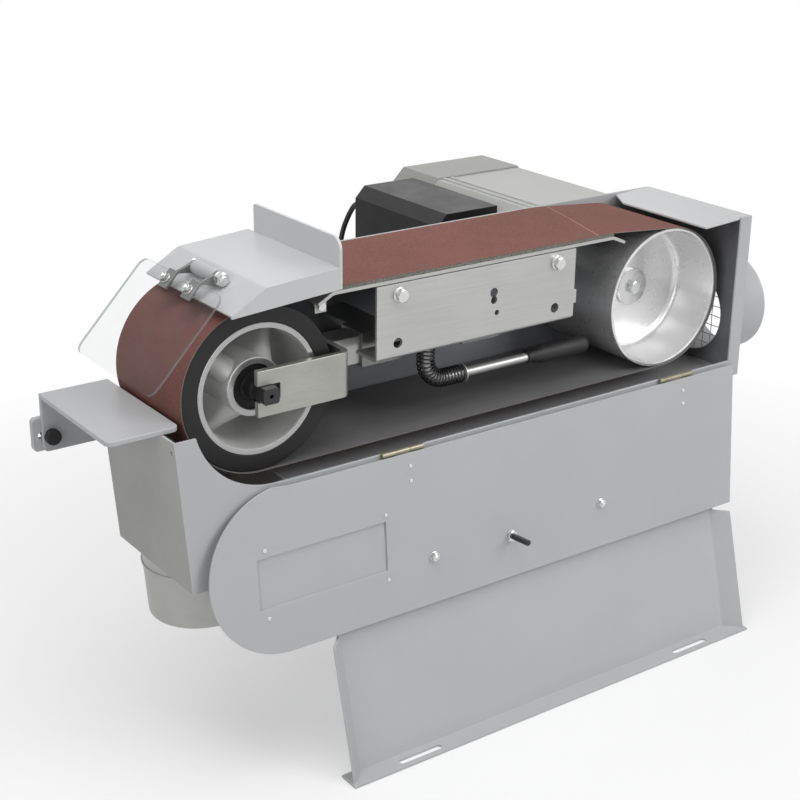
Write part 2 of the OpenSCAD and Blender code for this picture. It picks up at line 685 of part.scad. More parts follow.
// Contact wheel
spokes = 4;
spoke_turn = 54;
inner_r = rim_r - rim_t;
hub_end = wheel_w - hub_inset;
function spoke_half(k) = spoke_t / 2 + spoke_flare * pow(1 - k, 1.6);
function spoke_front(k) = hub_inset + 2 + (spoke_inset - hub_inset - 2) * pow(k, 0.85);
spoke_k = [for (i = [0:6]) i / 6];
function spoke_r(k) = hub_r - 3 + (inner_r - hub_r + 4) * k;
module wheel_core() {
    color([0.78, 0.78, 0.78]) at_head() union() {
        ring_y(2 * rim_r, 2 * inner_r, 0, wheel_w, fine);
        difference() {
            rod_y(hub_d, hub_inset, hub_end, fine);
            rod_y(bearing_d, -eps, bearing_inset + bearing_w, fine);
            rod_y(bearing_d, wheel_w - bearing_inset - bearing_w, wheel_w + eps, fine);
            rod_y(bearing_d - 6, -eps, wheel_w + eps, fine);
        }
        intersection() {
            rotate([-90, 0, 0]) rotate_extrude($fn = fine) polygon(concat(
                [for (k = spoke_k) [spoke_r(k), spoke_front(k)]],
                [for (k = reversed(spoke_k)) [spoke_r(k), wheel_w - spoke_front(k)]]));
            union() for (i = [0:spokes - 1]) rotate([0, -spoke_turn - i * 360 / spokes, 0])
                xz(0, wheel_w) polygon(concat(
                    [for (k = spoke_k) [spoke_r(k) - 1, -spoke_half(k)]],
                    [[rim_r - 1, -spoke_t / 2], [rim_r - 1, spoke_t / 2]],
                    [for (k = reversed(spoke_k)) [spoke_r(k) - 1, spoke_half(k)]]));
        }
    }
}
module wheel_tyre() {
    color([0.15, 0.15, 0.15]) at_head() ring_y(wheel_d, 2 * rim_r, 0, wheel_w, 2 * fine);
}
module wheel_bearings() {
    color([0.2, 0.2, 0.2]) at_head() for (y = [bearing_inset, wheel_w - bearing_inset - bearing_w])
        ring_y(bearing_d, bearing_bore + 2 * running_gap, y, y + bearing_w);
}
axle_back = back_y + 10;
module axle_end(y0, y1) {
    intersection() {
        rod_y(axle_end_d, y0, y1);
        box([-axle_flat / 2 - 1, y0, -axle_flat / 2], [axle_flat / 2 + 1, y1, axle_flat / 2]);
    }
}
module wheel_axle() {
    color([0.25, 0.25, 0.25]) at_head() difference() {
        union() {
            rod_y(bearing_bore, fork_front + fork_t + 2, wheel_w + 0.5);
            axle_end(-axle_front, fork_front + fork_t + 3);
            axle_end(wheel_w, axle_back);
            rod_y(bearing_bore + 5, bearing_inset - 2.5, bearing_inset - 0.3);
        }
        rod_y(5, -axle_front - eps, -axle_front + 12, 24);
    }
}

// Fork, slide and tension lever
fork_t = 8;
fork_rear_t = 5;
fork_front = -16;
fork_half = 28;
fork_x0 = -11;
fork_x1 = 117;
fork_bend = 14;
rear_arm_y = back_y - 1.5 - fork_rear_t;
slot_half = axle_flat / 2 + 0.1;
slot_end = axle_flat / 2 + 9;
module fork() {
    y1 = rear_arm_y + fork_rear_t;
    xi = fork_x1 - fork_t - 6;
    color([0.6, 0.61, 0.57]) at_head() difference() {
        translate([0, 0, -fork_half]) linear_extrude(2 * fork_half) polygon(concat(
            [[fork_x0, fork_front]],
            arc(fork_x1 - fork_bend, fork_front + fork_bend, fork_bend, -90, 0),
            arc(fork_x1 - fork_bend, y1 - fork_bend, fork_bend, 0, 90),
            [[fork_x0, y1], [fork_x0, rear_arm_y]],
            arc(xi, rear_arm_y - 6, 6, 90, 0),
            arc(xi, fork_front + fork_t + 6, 6, 0, -90),
            [[fork_x0, fork_front + fork_t]]));
        box([fork_x0 - eps, fork_front - eps, -slot_half], [slot_end, y1 + eps, slot_half]);
    }
}
slide_y0 = 54;
slide_y1 = slide_y0 + slide_w;
slide_z = -2;
slide_x1 = 430;
lever_x = 258;
lever_y = 30;
cam_swing = 70;
cam_r = 10.5;
cam_a = 90 + cam_swing / 2;
cam_pin_d = 6;
cam_pin = [lever_x + cam_r * cos(cam_a), lever_y + cam_r * sin(cam_a)];
lug_z = [14, 19];
module tension_slide() {
    color([0.62, 0.63, 0.6]) at_head() union() {
        difference() {
            box([fork_x1, slide_y0, slide_z - slide_w / 2], [slide_x1, slide_y1, slide_z + slide_w / 2]);
            box([fork_x1 - eps, slide_y0 + slide_wall, slide_z - slide_w / 2 + slide_wall],
                [slide_x1 - 8, slide_y1 - slide_wall, slide_z + slide_w / 2 - slide_wall]);
        }
        difference() {
            box([cam_pin[0] - 12, lever_y + 2, lug_z[0] - 1], [cam_pin[0] + 12, slide_y0, lug_z[1] - 3]);
            translate([cam_pin[0] - cam_pin_d / 2 - 0.3, lever_y + 5, lug_z[0] - 2])
                cube([cam_pin_d + 0.6, 13, 6]);
        }
    }
}
module slide_guide() {
    y = [slide_y0 - 5.1, slide_y1 + 5.1];
    z = [slide_z - slide_w / 2 - 4.1, slide_z + slide_w / 2 + 4.1];
    color([0.62, 0.63, 0.64]) at_head() for (x = [[175, 235], [330, 390]]) difference() {
        union() {
            box([x[0], y[0], z[0]], [x[1], y[1], z[1]]);
            box([x[0] + 8, y[1] - eps, z[1] - 8], [x[1] - 8, back_y, z[1]]);
            box([x[0] + 8, y[1] - eps, z[0]], [x[1] - 8, back_y, z[0] + 8]);
        }
        box([x[0] - eps, slide_y0 - 0.1, slide_z - slide_w / 2 - 0.1],
            [x[1] + eps, slide_y1 + 0.1, slide_z + slide_w / 2 + 0.1]);
    }
}
lever_z = -54;
rod_x1 = 440;
seat_z = -5;
spring_x1 = 316;
bracket_z = [0, 4];
cam_z = [bracket_z[1] + 1, bracket_z[1] + 7];
module tension_lever() {
    bend_z = lever_z + lever_bend;
    color([0.7, 0.7, 0.7]) at_head() translate([lever_x, lever_y, 0]) union() {
        rod_z(lever_d, bend_z, cam_z[1]);
        translate([lever_bend, 0, bend_z]) rotate([90, 0, 0]) rotate([0, 0, 180])
            rotate_extrude(angle = 90, $fn = fine) translate([lever_bend, 0]) circle(d = lever_d, $fn = 48);
        translate([0, 0, lever_z]) rod_x(lever_d, lever_bend, rod_x1 - lever_x);
        rod_z(lever_d + 10, seat_z, seat_z + 3);
        translate([0, 0, lever_z])
            rod_x(spring_d + spring_wire + 0.6, spring_x1 - lever_x, spring_x1 - lever_x + 2);
        rod_z(lever_d + 20, cam_z[0], cam_z[1]);
        translate([cam_pin[0] - lever_x, cam_pin[1] - lever_y, 0])
            rod_z(cam_pin_d, cam_z[1] - 1, lug_z[1], 32);
    }
}
// Centre line of the spring: down the pivot, round the bend and along the rod
spring_drop = -(lever_z + lever_bend) + seat_z;
spring_turn = lever_bend * PI / 2;
spring_run = spring_x1 - lever_x - lever_bend;
tail = spring_wire;
spring_l = spring_drop + spring_turn + spring_run - 2 * tail;
function spine(s) = s < spring_drop ? [0, 0, seat_z - s, 0]
    : s < spring_drop + spring_turn
        ? let (a = (s - spring_drop) / lever_bend * 180 / PI)
            [lever_bend * (1 - cos(a)), 0, lever_z + lever_bend * (1 - sin(a)), a]
        : [lever_bend + s - spring_drop - spring_turn, 0, lever_z, 90];
function spring_frame(s, a) = let (p = spine(s), out = [cos(a) * cos(p[3]), sin(a), cos(a) * sin(p[3])])
    [[p[0], p[1], p[2]] + spring_d / 2 * out, out];
curl_rings = 8;
ring_sides = 6;
steps = curls * curl_rings;
spring_pts = concat(
    [let (f = spring_frame(tail, 0)) [f[0] + [0, 0, tail], f[1], [0, 0, -1]]],
    [for (i = [0:steps]) let (
        s = tail + spring_l * i / steps, a = 360 * i / curl_rings, f = spring_frame(s, a),
        g = spring_frame(s + 0.02, a + 0.1), h = spring_frame(s - 0.02, a - 0.1))
        [f[0], f[1], unit(g[0] - h[0])]],
    [let (f = spring_frame(tail + spring_l, 0)) [f[0] + [tail, 0, 0], f[1], [1, 0, 0]]]);
function tube_ring(p, out, along, r, n) = let (
    u = unit(out - (out * along) * along), v = cross(along, u))
    [for (j = [0:n - 1]) p + r * (cos(360 * j / n) * u + sin(360 * j / n) * v)];
function tube_faces(rings, n) = concat(
    [for (j = [1:n - 2]) [0, j, j + 1]],
    [for (i = [0:rings - 2]) for (j = [0:n - 1])
        let (a = i * n + j, b = i * n + (j + 1) % n) each [[a, b + n, b], [a, a + n, b + n]]],
    [for (j = [1:n - 2]) let (e = (rings - 1) * n) [e, e + j + 1, e + j]]);
module tube(path, r, n) {
    polyhedron(points = [for (p = path) each tube_ring(p[0], p[1], p[2], r, n)],
        faces = tube_faces(len(path), n), convexity = 10);
}
spring_gap = min([for (i = [1:len(spring_pts) - 2 - curl_rings]) for (k = [-1:1])
    i + curl_rings + k < len(spring_pts) ? norm(spring_pts[i + curl_rings + k][0] - spring_pts[i][0]) : 99])
    - spring_wire;
echo(least_gap_of_the_spring_to_itself_in_mm = spring_gap);
module lever_spring() {
    color([0.3, 0.3, 0.3]) at_head() translate([lever_x, lever_y, 0])
        tube(spring_pts, spring_wire / 2, ring_sides);
}
module lever_grip() {
    x0 = 422;
    r = grip_d / 2;
    color([0.22, 0.22, 0.22]) at_head() translate([x0, lever_y, lever_z]) rotate([0, 90, 0]) difference() {
        rotate_extrude($fn = 64) polygon(concat(
            [[0, 0], [lever_d / 2 + 2, 0], [lever_d / 2 + 2.5, 6], [r, 24], [r, grip_l - 8]],
            arc(r - 8, grip_l - 8, 8, 0, 90, 8), [[0, grip_l]]));
        translate([0, 0, -eps]) cylinder(d = lever_d, h = rod_x1 - x0 + eps, $fn = 48);
    }
}

// Platen and its bracket
bolt_spots = [[193, 80.4], [439, 80.4]];
end_bolt = [98, 76];
module platen_bracket() {
    y1 = bracket_y + bracket_flange;
    top = platen_under - 1.5;
    color([0.72, 0.73, 0.72]) at_head() difference() {
        union() {
            yz(bracket_x0, bracket_x1)
                polygon(bent_sheet([[y1, 0], [bracket_y, 0], [bracket_y, top]], 6, -4));
            box([bracket_x1 - eps, bracket_y, 21], [bracket_x1 + 4, bracket_y + 4, 39.5]);
        }
        for (p = bolt_spots) translate([p[0], 0, p[1]]) rod_y(8.2, bracket_y - eps, bracket_y + 5, 32);
        for (x = [191, 438]) translate([x, 0, 20]) rod_y(13, bracket_y - eps, bracket_y + 5, 32);
        translate([337, 0, 58]) rod_y(12, bracket_y - eps, bracket_y + 5, 32);
        translate([337.5, 0, latch_z]) rod_y(10, bracket_y - eps, bracket_y + 5, 32);
        translate([342.6, 0, 31]) rod_y(7, bracket_y - eps, bracket_y + 5, 32);
        translate([lever_x, lever_y, 0]) rod_z(lever_d + 2 * running_gap, -eps, 5, 48);
    }
}
module bracket_bolts() {
    color([0.78, 0.78, 0.78]) at_head() for (p = bolt_spots) translate([p[0], 0, p[1]]) union() {
        rod_y(8, bracket_y - 1, bracket_y + 16, 32);
        rod_y(17, bracket_y - 2.5, bracket_y, 32);
        hex_y(13, bracket_y - 9, bracket_y - 2);
    }
    color([0.78, 0.78, 0.78]) at_head() translate([end_bolt[0], 0, end_bolt[1]]) union() {
        rod_y(6, 18, 30, 32);
        hex_y(10, 17, 22);
    }
}
platen_y = [-4, wheel_w];
module platen() {
    color([0.7, 0.7, 0.68]) at_head() difference() {
        union() {
            xz(platen_y[0], platen_y[1]) polygon(reversed(bent_sheet([
                [78, platen_top - 11], [platen_x0 - 1, platen_top], [platen_x1 - 6, platen_top],
                [platen_x1 + 15, platen_top - 9]], 14, -platen_t)));
            box([bracket_x0 + 4, bracket_y + 4, 68], [bracket_x1 - 4, bracket_y + 8, platen_under + eps]);
            for (x = [200, 410]) xz(back_y - 48, back_y) polygon([
                [x, platen_under + eps], [x + 40, platen_under + eps], [x + 40, 60], [x, 60]]);
            box([90, 22, 68], [106, 26, platen_under + 1]);
        }
        for (p = bolt_spots) translate([p[0], 0, p[1]]) rod_y(8, 0, 20, 32);
        translate([end_bolt[0], 0, end_bolt[1]]) rod_y(6, 10, 30, 32);
    }
}
module platen_pad() {
    color([0.4, 0.4, 0.38]) at_head()
        box([platen_x0, platen_y[0], platen_top], [platen_x1 - 6, platen_y[1] - 1, pad_top]);
}

// Abrasive belt
belt_n = 44;
drum_c = [axis_gap, -drum_drop];
function tangent_angle(c, p, r, s) = atan2(p[1] - c[1], p[0] - c[0]) + s * acos(r / norm(p - c));
function belt_loop(o) = let (
    rw = belt_wheel_r + o, rd = belt_drum_r + o,
    p = [platen_x0, pad_top + o], q = [platen_x1 - 6, pad_top + o],
    low = atan2(drum_c[1], drum_c[0]) - acos((rw - rd) / norm(drum_c)))
    concat(
        arc(0, 0, rw, tangent_angle([0, 0], p, rw, 1), 360 + low, belt_n),
        arc(drum_c[0], drum_c[1], rd, low, tangent_angle(drum_c, q, rd, -1), belt_n),
        [q, p]);
module belt() {
    color([0.55, 0.39, 0.37]) at_head() xz(-2, wheel_w - 2) difference() {
        polygon(belt_loop(belt_t));
        polygon(belt_loop(0));
    }
}

// Drive drum
drum_web_y = 68;
web_t = 9;
drum_wall = 5;
module drive_drum() {
    color([0.8, 0.8, 0.8]) at_head() translate([axis_gap, 0, -drum_drop]) difference() {
        rod_y(drum_d, 0, wheel_w, 2 * fine);
        rod_y(drum_d - 2 * drum_wall, -eps, 38, fine);
        rod_y(drum_d - 2 * drum_wall - 8, -eps, drum_web_y, fine);
        difference() {
            rod_y(drum_d - 2 * drum_wall - 8, drum_web_y + web_t, wheel_w + eps, fine);
            rod_y(60, drum_web_y, wheel_w - 20, fine);
        }
        rod_y(shaft_d, drum_web_y - eps, wheel_w, 64);
    }
}
module drum_bolt() {
    color([0.75, 0.75, 0.75]) at_head() translate([axis_gap, 0, -drum_drop]) union() {
        rod_y(52, drum_web_y - 5, drum_web_y, 64);
        hex_y(17, drum_web_y - 12, drum_web_y - 5);
    }
}

// Motor
flange_y = back_y + back_t;
flange_t = 25;
housing_y = flange_y + flange_t;
cowl_y = housing_y + motor_l;
shaft_end = cowl_y + 40;
stator_d = 150;
rotor_d = 88;
stack_l = 120;
stack_y = housing_y + 45;
motor_flat = 78;
chamfer_drop = 22;
module at_motor() {
    at_head() translate([axis_gap, 0, -drum_drop]) children();
}
function motor_outline(o) = [
    for (s = [[1, 1], [-1, 1], [-1, -1], [1, -1]]) each let (
        a = [s[0] * motor_flat, s[1] * (motor_top + o)],
        b = [s[0] * (motor_half_w + o), s[1] * (motor_top - chamfer_drop)])
        s[0] * s[1] > 0 ? [b, a] : [a, b]];
module motor_shaft() {
    color([0.6, 0.6, 0.6]) at_motor() rod_y(shaft_d, drum_web_y, shaft_end, 64);
}
module motor_rotor() {
    color([0.5, 0.5, 0.5]) at_motor() ring_y(rotor_d, shaft_d, stack_y, stack_y + stack_l);
}
module motor_fan() {
    y = shaft_end - 22;
    color([0.2, 0.2, 0.2]) at_motor() difference() {
        union() {
            rod_y(44, y - 4, y + 18);
            rod_y(150, y, y + 3, fine);
            for (a = [0:45:315]) rotate([0, a, 0]) box([20, y, -1.5], [74, y + 16, 1.5]);
        }
        rod_y(shaft_d, y - 10, y + 30, 64);
    }
}
module motor_stator() {
    color([0.55, 0.45, 0.35]) at_motor() union() {
        ring_y(stator_d, rotor_d + 1, stack_y, stack_y + stack_l, fine);
        ring_y(stator_d - 16, rotor_d + 8, stack_y - 22, stack_y + stack_l + 22, fine);
    }
}
module end_bearing(y) {
    ring_y(52, shaft_d + 2 * running_gap, y, y + 15);
}
module motor_flange() {
    color([0.6, 0.6, 0.6]) at_motor() difference() {
        union() {
            rod_y(2 * motor_half_w - 2, flange_y, flange_y + 12, fine);
            rod_y(2 * motor_half_w - 30, flange_y, housing_y, fine);
        }
        rod_y(shaft_d + 10, flange_y - eps, housing_y + eps);
        rod_y(130, flange_y + 18, housing_y + eps);
    }
    color([0.3, 0.3, 0.3]) at_motor()
        ring_y(shaft_d + 10, shaft_d + 2 * running_gap, flange_y + 1, flange_y + 15);
}
groove_x = [-65, -57];
module motor_housing() {
    color([0.68, 0.69, 0.67]) at_motor() difference() {
        union() {
            xz(housing_y, cowl_y) polygon(motor_outline(0));
            box([-motor_half_w - neck, box_y0 + 20, -30], [-motor_half_w + 8, cowl_y - 25, 60]);
            box([groove_x[1], housing_y + 10, motor_top - 1], [groove_x[1] + 6, cowl_y - 10, motor_top + 2]);
            box([groove_x[0] - 6, housing_y + 10, motor_top - 1], [groove_x[0], cowl_y - 10, motor_top + 2]);
        }
        rod_y(stator_d, housing_y - eps, cowl_y - 14, fine);
        rod_y(shaft_d + 10, housing_y, cowl_y + eps);
        for (k = [-3:3])
            box([motor_half_w - 6, housing_y + 8, k * 18 - 3], [motor_half_w + 6, cowl_y - 16, k * 18 + 3]);
    }
    color([0.3, 0.3, 0.3]) at_motor()
        ring_y(shaft_d + 10, shaft_d + 2 * running_gap, cowl_y - 13, cowl_y - 1);
}
cowl_lap = 8;
module fan_cowl() {
    color([0.66, 0.67, 0.65]) at_motor() difference() {
        xz(cowl_y - cowl_lap, cowl_y + cowl_l) polygon(motor_outline(sheet_t));
        xz(cowl_y - cowl_lap - eps, cowl_y + cowl_l - sheet_t) polygon(motor_outline(0));
        for (k = [-4:4]) box([-60, cowl_y + cowl_l - 5, k * 14 - 3], [60, cowl_y + cowl_l + 2, k * 14 + 3]);
    }
}

// Terminal box, switch and lead
box_y0 = 238;
box_y1 = box_y0 + box_l;
neck = 4;
box_x1 = axis_gap - motor_half_w - neck;
box_z = [-45, 90];
gland_x = 455;
lead_z = 58;
gland_hole = 16;
base_gland_z = -230;
box_wall = 3;
function box_outline(o) = [
    [box_x0 + o, box_z[0] + o], [box_x1, box_z[0] + o], [box_x1, box_z[1] - o],
    [box_x0 + 16 + o / 2, box_z[1] - o], [box_x0 + o, box_z[1] - 17 - o / 2]];
module terminal_box() {
    color([0.2, 0.2, 0.2]) at_head() difference() {
        xz(box_y0, box_y1) polygon(box_outline(0));
        xz(box_y0 + box_wall, box_y1 - box_wall) polygon(box_outline(box_wall));
        translate([gland_x, 0, lead_z]) rod_y(gland_hole, box_y1 - 10, box_y1 + eps);
        translate([box_x0 - eps, switch_y0 + 12, switch_z]) rod_x(22, 0, 10);
        translate([box_x0 - eps, switch_y0 + switch_l - 12, switch_z]) rod_x(22, 0, 10);
    }
}
switch_y0 = 300;
switch_l = 76;
switch_z = -4;
switch_t = 6;
button_d = 20;
module switch_plate() {
    color([0.25, 0.25, 0.25]) at_head() difference() {
        box([box_x0 - switch_t, switch_y0 - 8, switch_z - 22],
            [box_x0, switch_y0 + switch_l + 8, switch_z + 22]);
        for (y = [switch_y0 + 12, switch_y0 + switch_l - 12]) translate([0, y, switch_z])
            rod_x(button_d + 0.6, box_x0 - switch_t - eps, box_x0 + eps);
    }
}
module button(y, out) {
    translate([0, y, switch_z]) union() {
        rod_x(button_d, box_x0 - switch_t - out, box_x0 + 4);
    }
}
module start_button() {
    color([0.1, 0.5, 0.2]) at_head() button(switch_y0 + 12, 4);
}
module stop_button() {
    color([0.75, 0.1, 0.1]) at_head() button(switch_y0 + switch_l - 12, 7);
}
gland_l = 14;
module gland(y0) {
    rod_y(gland_hole, y0 - 6, y0 + 2, 32);
    hex_y(20, y0, y0 + 8);
    rod_y(15, y0 + 7, y0 + gland_l, 32);
}
module cable_glands() {
    color([0.2, 0.2, 0.2]) at_head() union() {
        translate([gland_x, 0, lead_z]) gland(box_y1);
        translate([gland_x, 0, base_gland_z]) gland(column_y);
    }
}
lead_y0 = box_y1 + gland_l;
lead_y1 = column_y + gland_l;
lead_route = [
    [gland_x, lead_y0, lead_z], [gland_x, lead_y0 + 11, lead_z - 1], [gland_x, lead_y0 + 27, lead_z - 10],
    [449, lead_y0 + 36, 28], [441, lead_y0 + 39, 2], [434, lead_y0 + 37, -40], [430, lead_y0 + 25, -110],
    [432, lead_y0 - 5, -175], [440, lead_y0 - 55, -225], [450, lead_y1 + 136, base_gland_z - 14],
    [gland_x, lead_y1 + 76, base_gland_z - 11], [gland_x, lead_y1 + 26, base_gland_z - 2],
    [gland_x, lead_y1, base_gland_z]];
function spline(p, i, t) = let (
    n = len(p) - 1, a = i > 0 ? p[i - 1] : 2 * p[0] - p[1], b = p[i], c = p[i + 1],
    d = i + 2 <= n ? p[i + 2] : 2 * p[n] - p[n - 1])
    0.5 * (2 * b + (c - a) * t + (2 * a - 5 * b + 4 * c - d) * t * t + (3 * b - a - 3 * c + d) * pow(t, 3));
lead_pts = concat(
    [for (i = [0:len(lead_route) - 2]) for (k = [0:2]) spline(lead_route, i, k / 3)],
    [lead_route[len(lead_route) - 1]]);
lead_path = let (n = len(lead_pts) - 1) [for (i = [0:n])
    [lead_pts[i], [1, 0, 0], unit(i == 0 || i == n ? [0, i == 0 ? 1 : -1, 0]
        : lead_pts[i + 1] - lead_pts[i - 1])]];
module motor_lead() {
    color([0.08, 0.08, 0.08]) at_head() tube(lead_path, lead_d / 2, 10);
}

// Work table beside the contact wheel
table_x0 = -table_x1 - table_l;
table_y1 = back_y + back_t + 3;
table_y0 = table_y1 - table_w;
flange_low = -92;
arm_z = [-92, -51];
table_slot_z = -73;
table_travel = 10;
stud_in = 10;
module work_table() {
    r = 9;
    color([0.69, 0.69, 0.69]) at_head() difference() {
        union() {
            translate([0, 0, -table_drop - table_t]) linear_extrude(table_t) polygon(concat(
                arc(table_x0 + r, table_y0 + r, r, 270, 180),
                [[table_x0, table_y1], [-table_x1, table_y1]],
                arc(-table_x1 - r, table_y0 + r, r, 0, -90)));
            xz(table_y1 - table_t, table_y1) polygon(concat(
                arc(table_x0 + 6, flange_low + 6, 6, 180, 270),
                [[-table_x1, flange_low], [-table_x1, -table_drop - 1], [table_x0, -table_drop - 1]]));
        }
        translate([table_x0 + stud_in, 0, table_slot_z])
            rod_y(8.2, table_y1 - table_t - eps, table_y1 + eps, 32);
    }
}
arm_t = 8;
module table_knob() {
    color([0.12, 0.12, 0.12]) at_head() translate([table_x0 + stud_in, 0, table_slot_z]) union() {
        rod_y(knob_d, table_y1 - table_t - 9.3, table_y1 - table_t - 0.3, 48);
        rod_y(8, table_y1 - table_t - 1, table_y1 + arm_t + 2, 32);
        rod_y(15, table_y1 + arm_t + 0.6, table_y1 + arm_t + 4, 32);
    }
}
arm_x1 = 100;
module table_arm() {
    y0 = table_y1 + 0.3;
    color([0.67, 0.67, 0.67]) at_head() difference() {
        union() {
            xz(y0, y0 + arm_t) polygon(round_rect(table_x0 - 10, arm_z[0], arm_x1, arm_z[1], 5));
            box([arm_x1 - 40, flange_y, arm_z[0]], [arm_x1, y0 + eps, arm_z[1]]);
        }
        xz(y0 - eps, y0 + arm_t + eps) polygon(slot_outline(
            table_x0 + stud_in - table_travel / 2, table_slot_z, table_travel + 8.6, 8.6));
    }
}
base_panel();
base_column();
base_top_plate();
back_plate();
housing_front();
housing_tray();
right_wall();
top_end_cover();
dust_chute();
chute_spigot();
outlet_spigot();
outlet_mesh();
wheel_cover();
fence();
guard_tube();
guard_pivot_bolt();
guard_links();
guard_screen();
guard_screws();
side_door();
door_window();
door_hinges();
door_leaves();
door_rivets();
door_latch();
door_pull();
door_nuts();
wheel_core();
wheel_tyre();
wheel_bearings();
wheel_axle();
fork();
tension_slide();
slide_guide();
tension_lever();
lever_spring();
lever_grip();
platen_bracket();
bracket_bolts();
platen();
platen_pad();
belt();
drive_drum();
drum_bolt();
motor_shaft();
motor_rotor();
motor_fan();
motor_stator();
motor_flange();
motor_housing();
fan_cowl();
terminal_box();
switch_plate();
start_button();
stop_button();
cable_glands();
motor_lead();
work_table();
table_knob();
table_arm();
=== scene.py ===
"""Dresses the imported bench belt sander: camera, light, floor, materials and the detailed pieces.

Places are Vectors in metres in the part's frame. head() makes them from millimetres counted from
the contact wheel's axis, and the sizes of single pieces are in millimetres too.
"""

import math

import bmesh
import bpy
from mathutils import Matrix, Vector


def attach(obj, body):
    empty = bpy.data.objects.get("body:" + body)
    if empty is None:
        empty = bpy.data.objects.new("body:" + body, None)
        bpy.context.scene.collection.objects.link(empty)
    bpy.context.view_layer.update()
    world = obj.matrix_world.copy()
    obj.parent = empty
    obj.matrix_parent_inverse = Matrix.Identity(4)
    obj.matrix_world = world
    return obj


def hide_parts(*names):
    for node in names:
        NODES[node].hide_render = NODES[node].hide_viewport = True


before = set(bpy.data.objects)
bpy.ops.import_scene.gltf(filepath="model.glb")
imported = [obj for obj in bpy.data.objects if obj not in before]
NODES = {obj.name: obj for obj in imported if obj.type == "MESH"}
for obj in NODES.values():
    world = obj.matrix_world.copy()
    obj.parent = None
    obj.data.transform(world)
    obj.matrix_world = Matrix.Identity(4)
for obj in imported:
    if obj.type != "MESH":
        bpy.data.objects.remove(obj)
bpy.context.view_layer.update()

MM = 0.001
X, Y, Z = Vector((1, 0, 0)), Vector((0, 1, 0)), Vector((0, 0, 1))
# The contact wheel's axis at its front face, in the part's frame
HEAD = Vector((-0.3925, 0.110, 0.490))


def head(x, y, z):
    """A point given in millimetres from the contact wheel's axis, in the part's frame in metres."""
    return HEAD + Vector((x, y, z)) * MM


# The drum's axis in X and Z, in millimetres from the contact wheel's, and both axes in the frame
DRUM_AT = (640.0, -3.0)
WHEEL_C = head(0, 0, 0)
DRUM_C = head(DRUM_AT[0], 0, DRUM_AT[1])
# The way the clear screen faces
SCREEN_OUT = (-0.7254, 0, 0.6883)


def lin(r, g, b):
    """A screen colour of 0 to 255 as linear values."""
    out = []
    for c in (r, g, b):
        c /= 255
        out.append(c / 12.92 if c <= 0.04045 else ((c + 0.055) / 1.055) ** 2.4)
    return tuple(out)


def by_node(groups):
    """Turns {value: "node node"} round, into {node: value}."""
    return {node: value for value, nodes in groups.items() for node in nodes.split()}


def add_object(name, data):
    """A new object in the scene."""
    obj = bpy.data.objects.new(name, data)
    bpy.context.scene.collection.objects.link(obj)
    return obj


# ---------------------------------------------------------------- shader nodes
# Where most values of a noise texture lie
NOISE_LOW, NOISE_HIGH = 0.3, 0.7


class Shade:
    """A short way to write a node tree."""

    def __init__(self, tree):
        self.tree = tree
        tree.nodes.clear()

    def node(self, kind, **inputs):
        """A node with its settings and sockets; an underscore stands for a space in their names."""
        n = self.tree.nodes.new("ShaderNode" + kind)
        for key, value in inputs.items():
            name = key.replace("_", " ")
            if hasattr(n, key):
                setattr(n, key, value)
            elif isinstance(value, bpy.types.NodeSocket):
                self.link(value, n.inputs[name])
            else:
                n.inputs[name].default_value = value
        return n

    def link(self, a, b):
        self.tree.links.new(a, b)

    def math(self, operation, a, b=None, c=None):
        n = self.node("Math", operation=operation)
        for i, v in enumerate((a, b, c)):
            if v is None:
                continue
            if isinstance(v, bpy.types.NodeSocket):
                self.link(v, n.inputs[i])
            else:
                n.inputs[i].default_value = v
        return n.outputs[0]

    def remap(self, value, lo, hi, to_lo, to_hi):
        n = self.node("MapRange", clamp=True, Value=value, From_Min=lo, From_Max=hi, To_Min=to_lo,
                      To_Max=to_hi)
        return n.outputs["Result"]

    def spread(self, noise, to_lo, to_hi):
        """A noise value, stretched from its usual range to another one."""
        return self.remap(noise, NOISE_LOW, NOISE_HIGH, to_lo, to_hi)

    def mix(self, factor, a, b):
        n = self.node("Mix", data_type="RGBA")
        for key, v in (("Factor_Float", factor), ("A_Color", a), ("B_Color", b)):
            socket = next(s for s in n.inputs if s.identifier == key)
            if isinstance(v, bpy.types.NodeSocket):
                self.link(v, socket)
            else:
                socket.default_value = v if key == "Factor_Float" else (*v[:3], 1)
        return next(s for s in n.outputs if s.identifier == "Result_Color")

    def noise(self, vector, scale, detail, rough):
        n = self.node("TexNoise", Vector=vector, Scale=scale, Detail=detail, Roughness=rough)
        return n.outputs["Fac"]

    def object_coords(self):
        return self.node("TexCoord").outputs["Object"]

    def stretched(self, vector, scale):
        n = self.node("Mapping", Vector=vector)
        n.inputs["Scale"].default_value = scale
        return n.outputs["Vector"]

    def dot(self, a, b):
        """The dot product of a vector socket and a second one or a constant."""
        n = self.node("VectorMath", operation="DOT_PRODUCT")
        self.link(a, n.inputs[0])
        if isinstance(b, bpy.types.NodeSocket):
            self.link(b, n.inputs[1])
        else:
            n.inputs[1].default_value = b
        return n.outputs["Value"]

    def facing(self, way):
        """How squarely a face looks a given way."""
        return self.dot(self.node("TexCoord").outputs["Normal"], way)

    def layered(self, factor, first, second):
        """A mix of two shaders."""
        n = self.node("MixShader", Fac=factor)
        self.link(first.outputs[0], n.inputs[1])
        self.link(second.outputs[0], n.inputs[2])
        return n

    def solid(self, colour, roughness, relief, strength, distance, metal, shine):
        """A Principled shader with relief, as the material's result."""
        bump = self.node("Bump", Strength=strength, Distance=distance, Height=relief)
        self.finish(self.node("BsdfPrincipled", Metallic=metal, Specular_IOR_Level=shine,
                              Base_Color=colour, Roughness=roughness,
                              Normal=bump.outputs["Normal"]))

    def finish(self, shader, kind="Material"):
        out = self.node("Output" + kind)
        self.link(shader.outputs[0], out.inputs["Surface"])


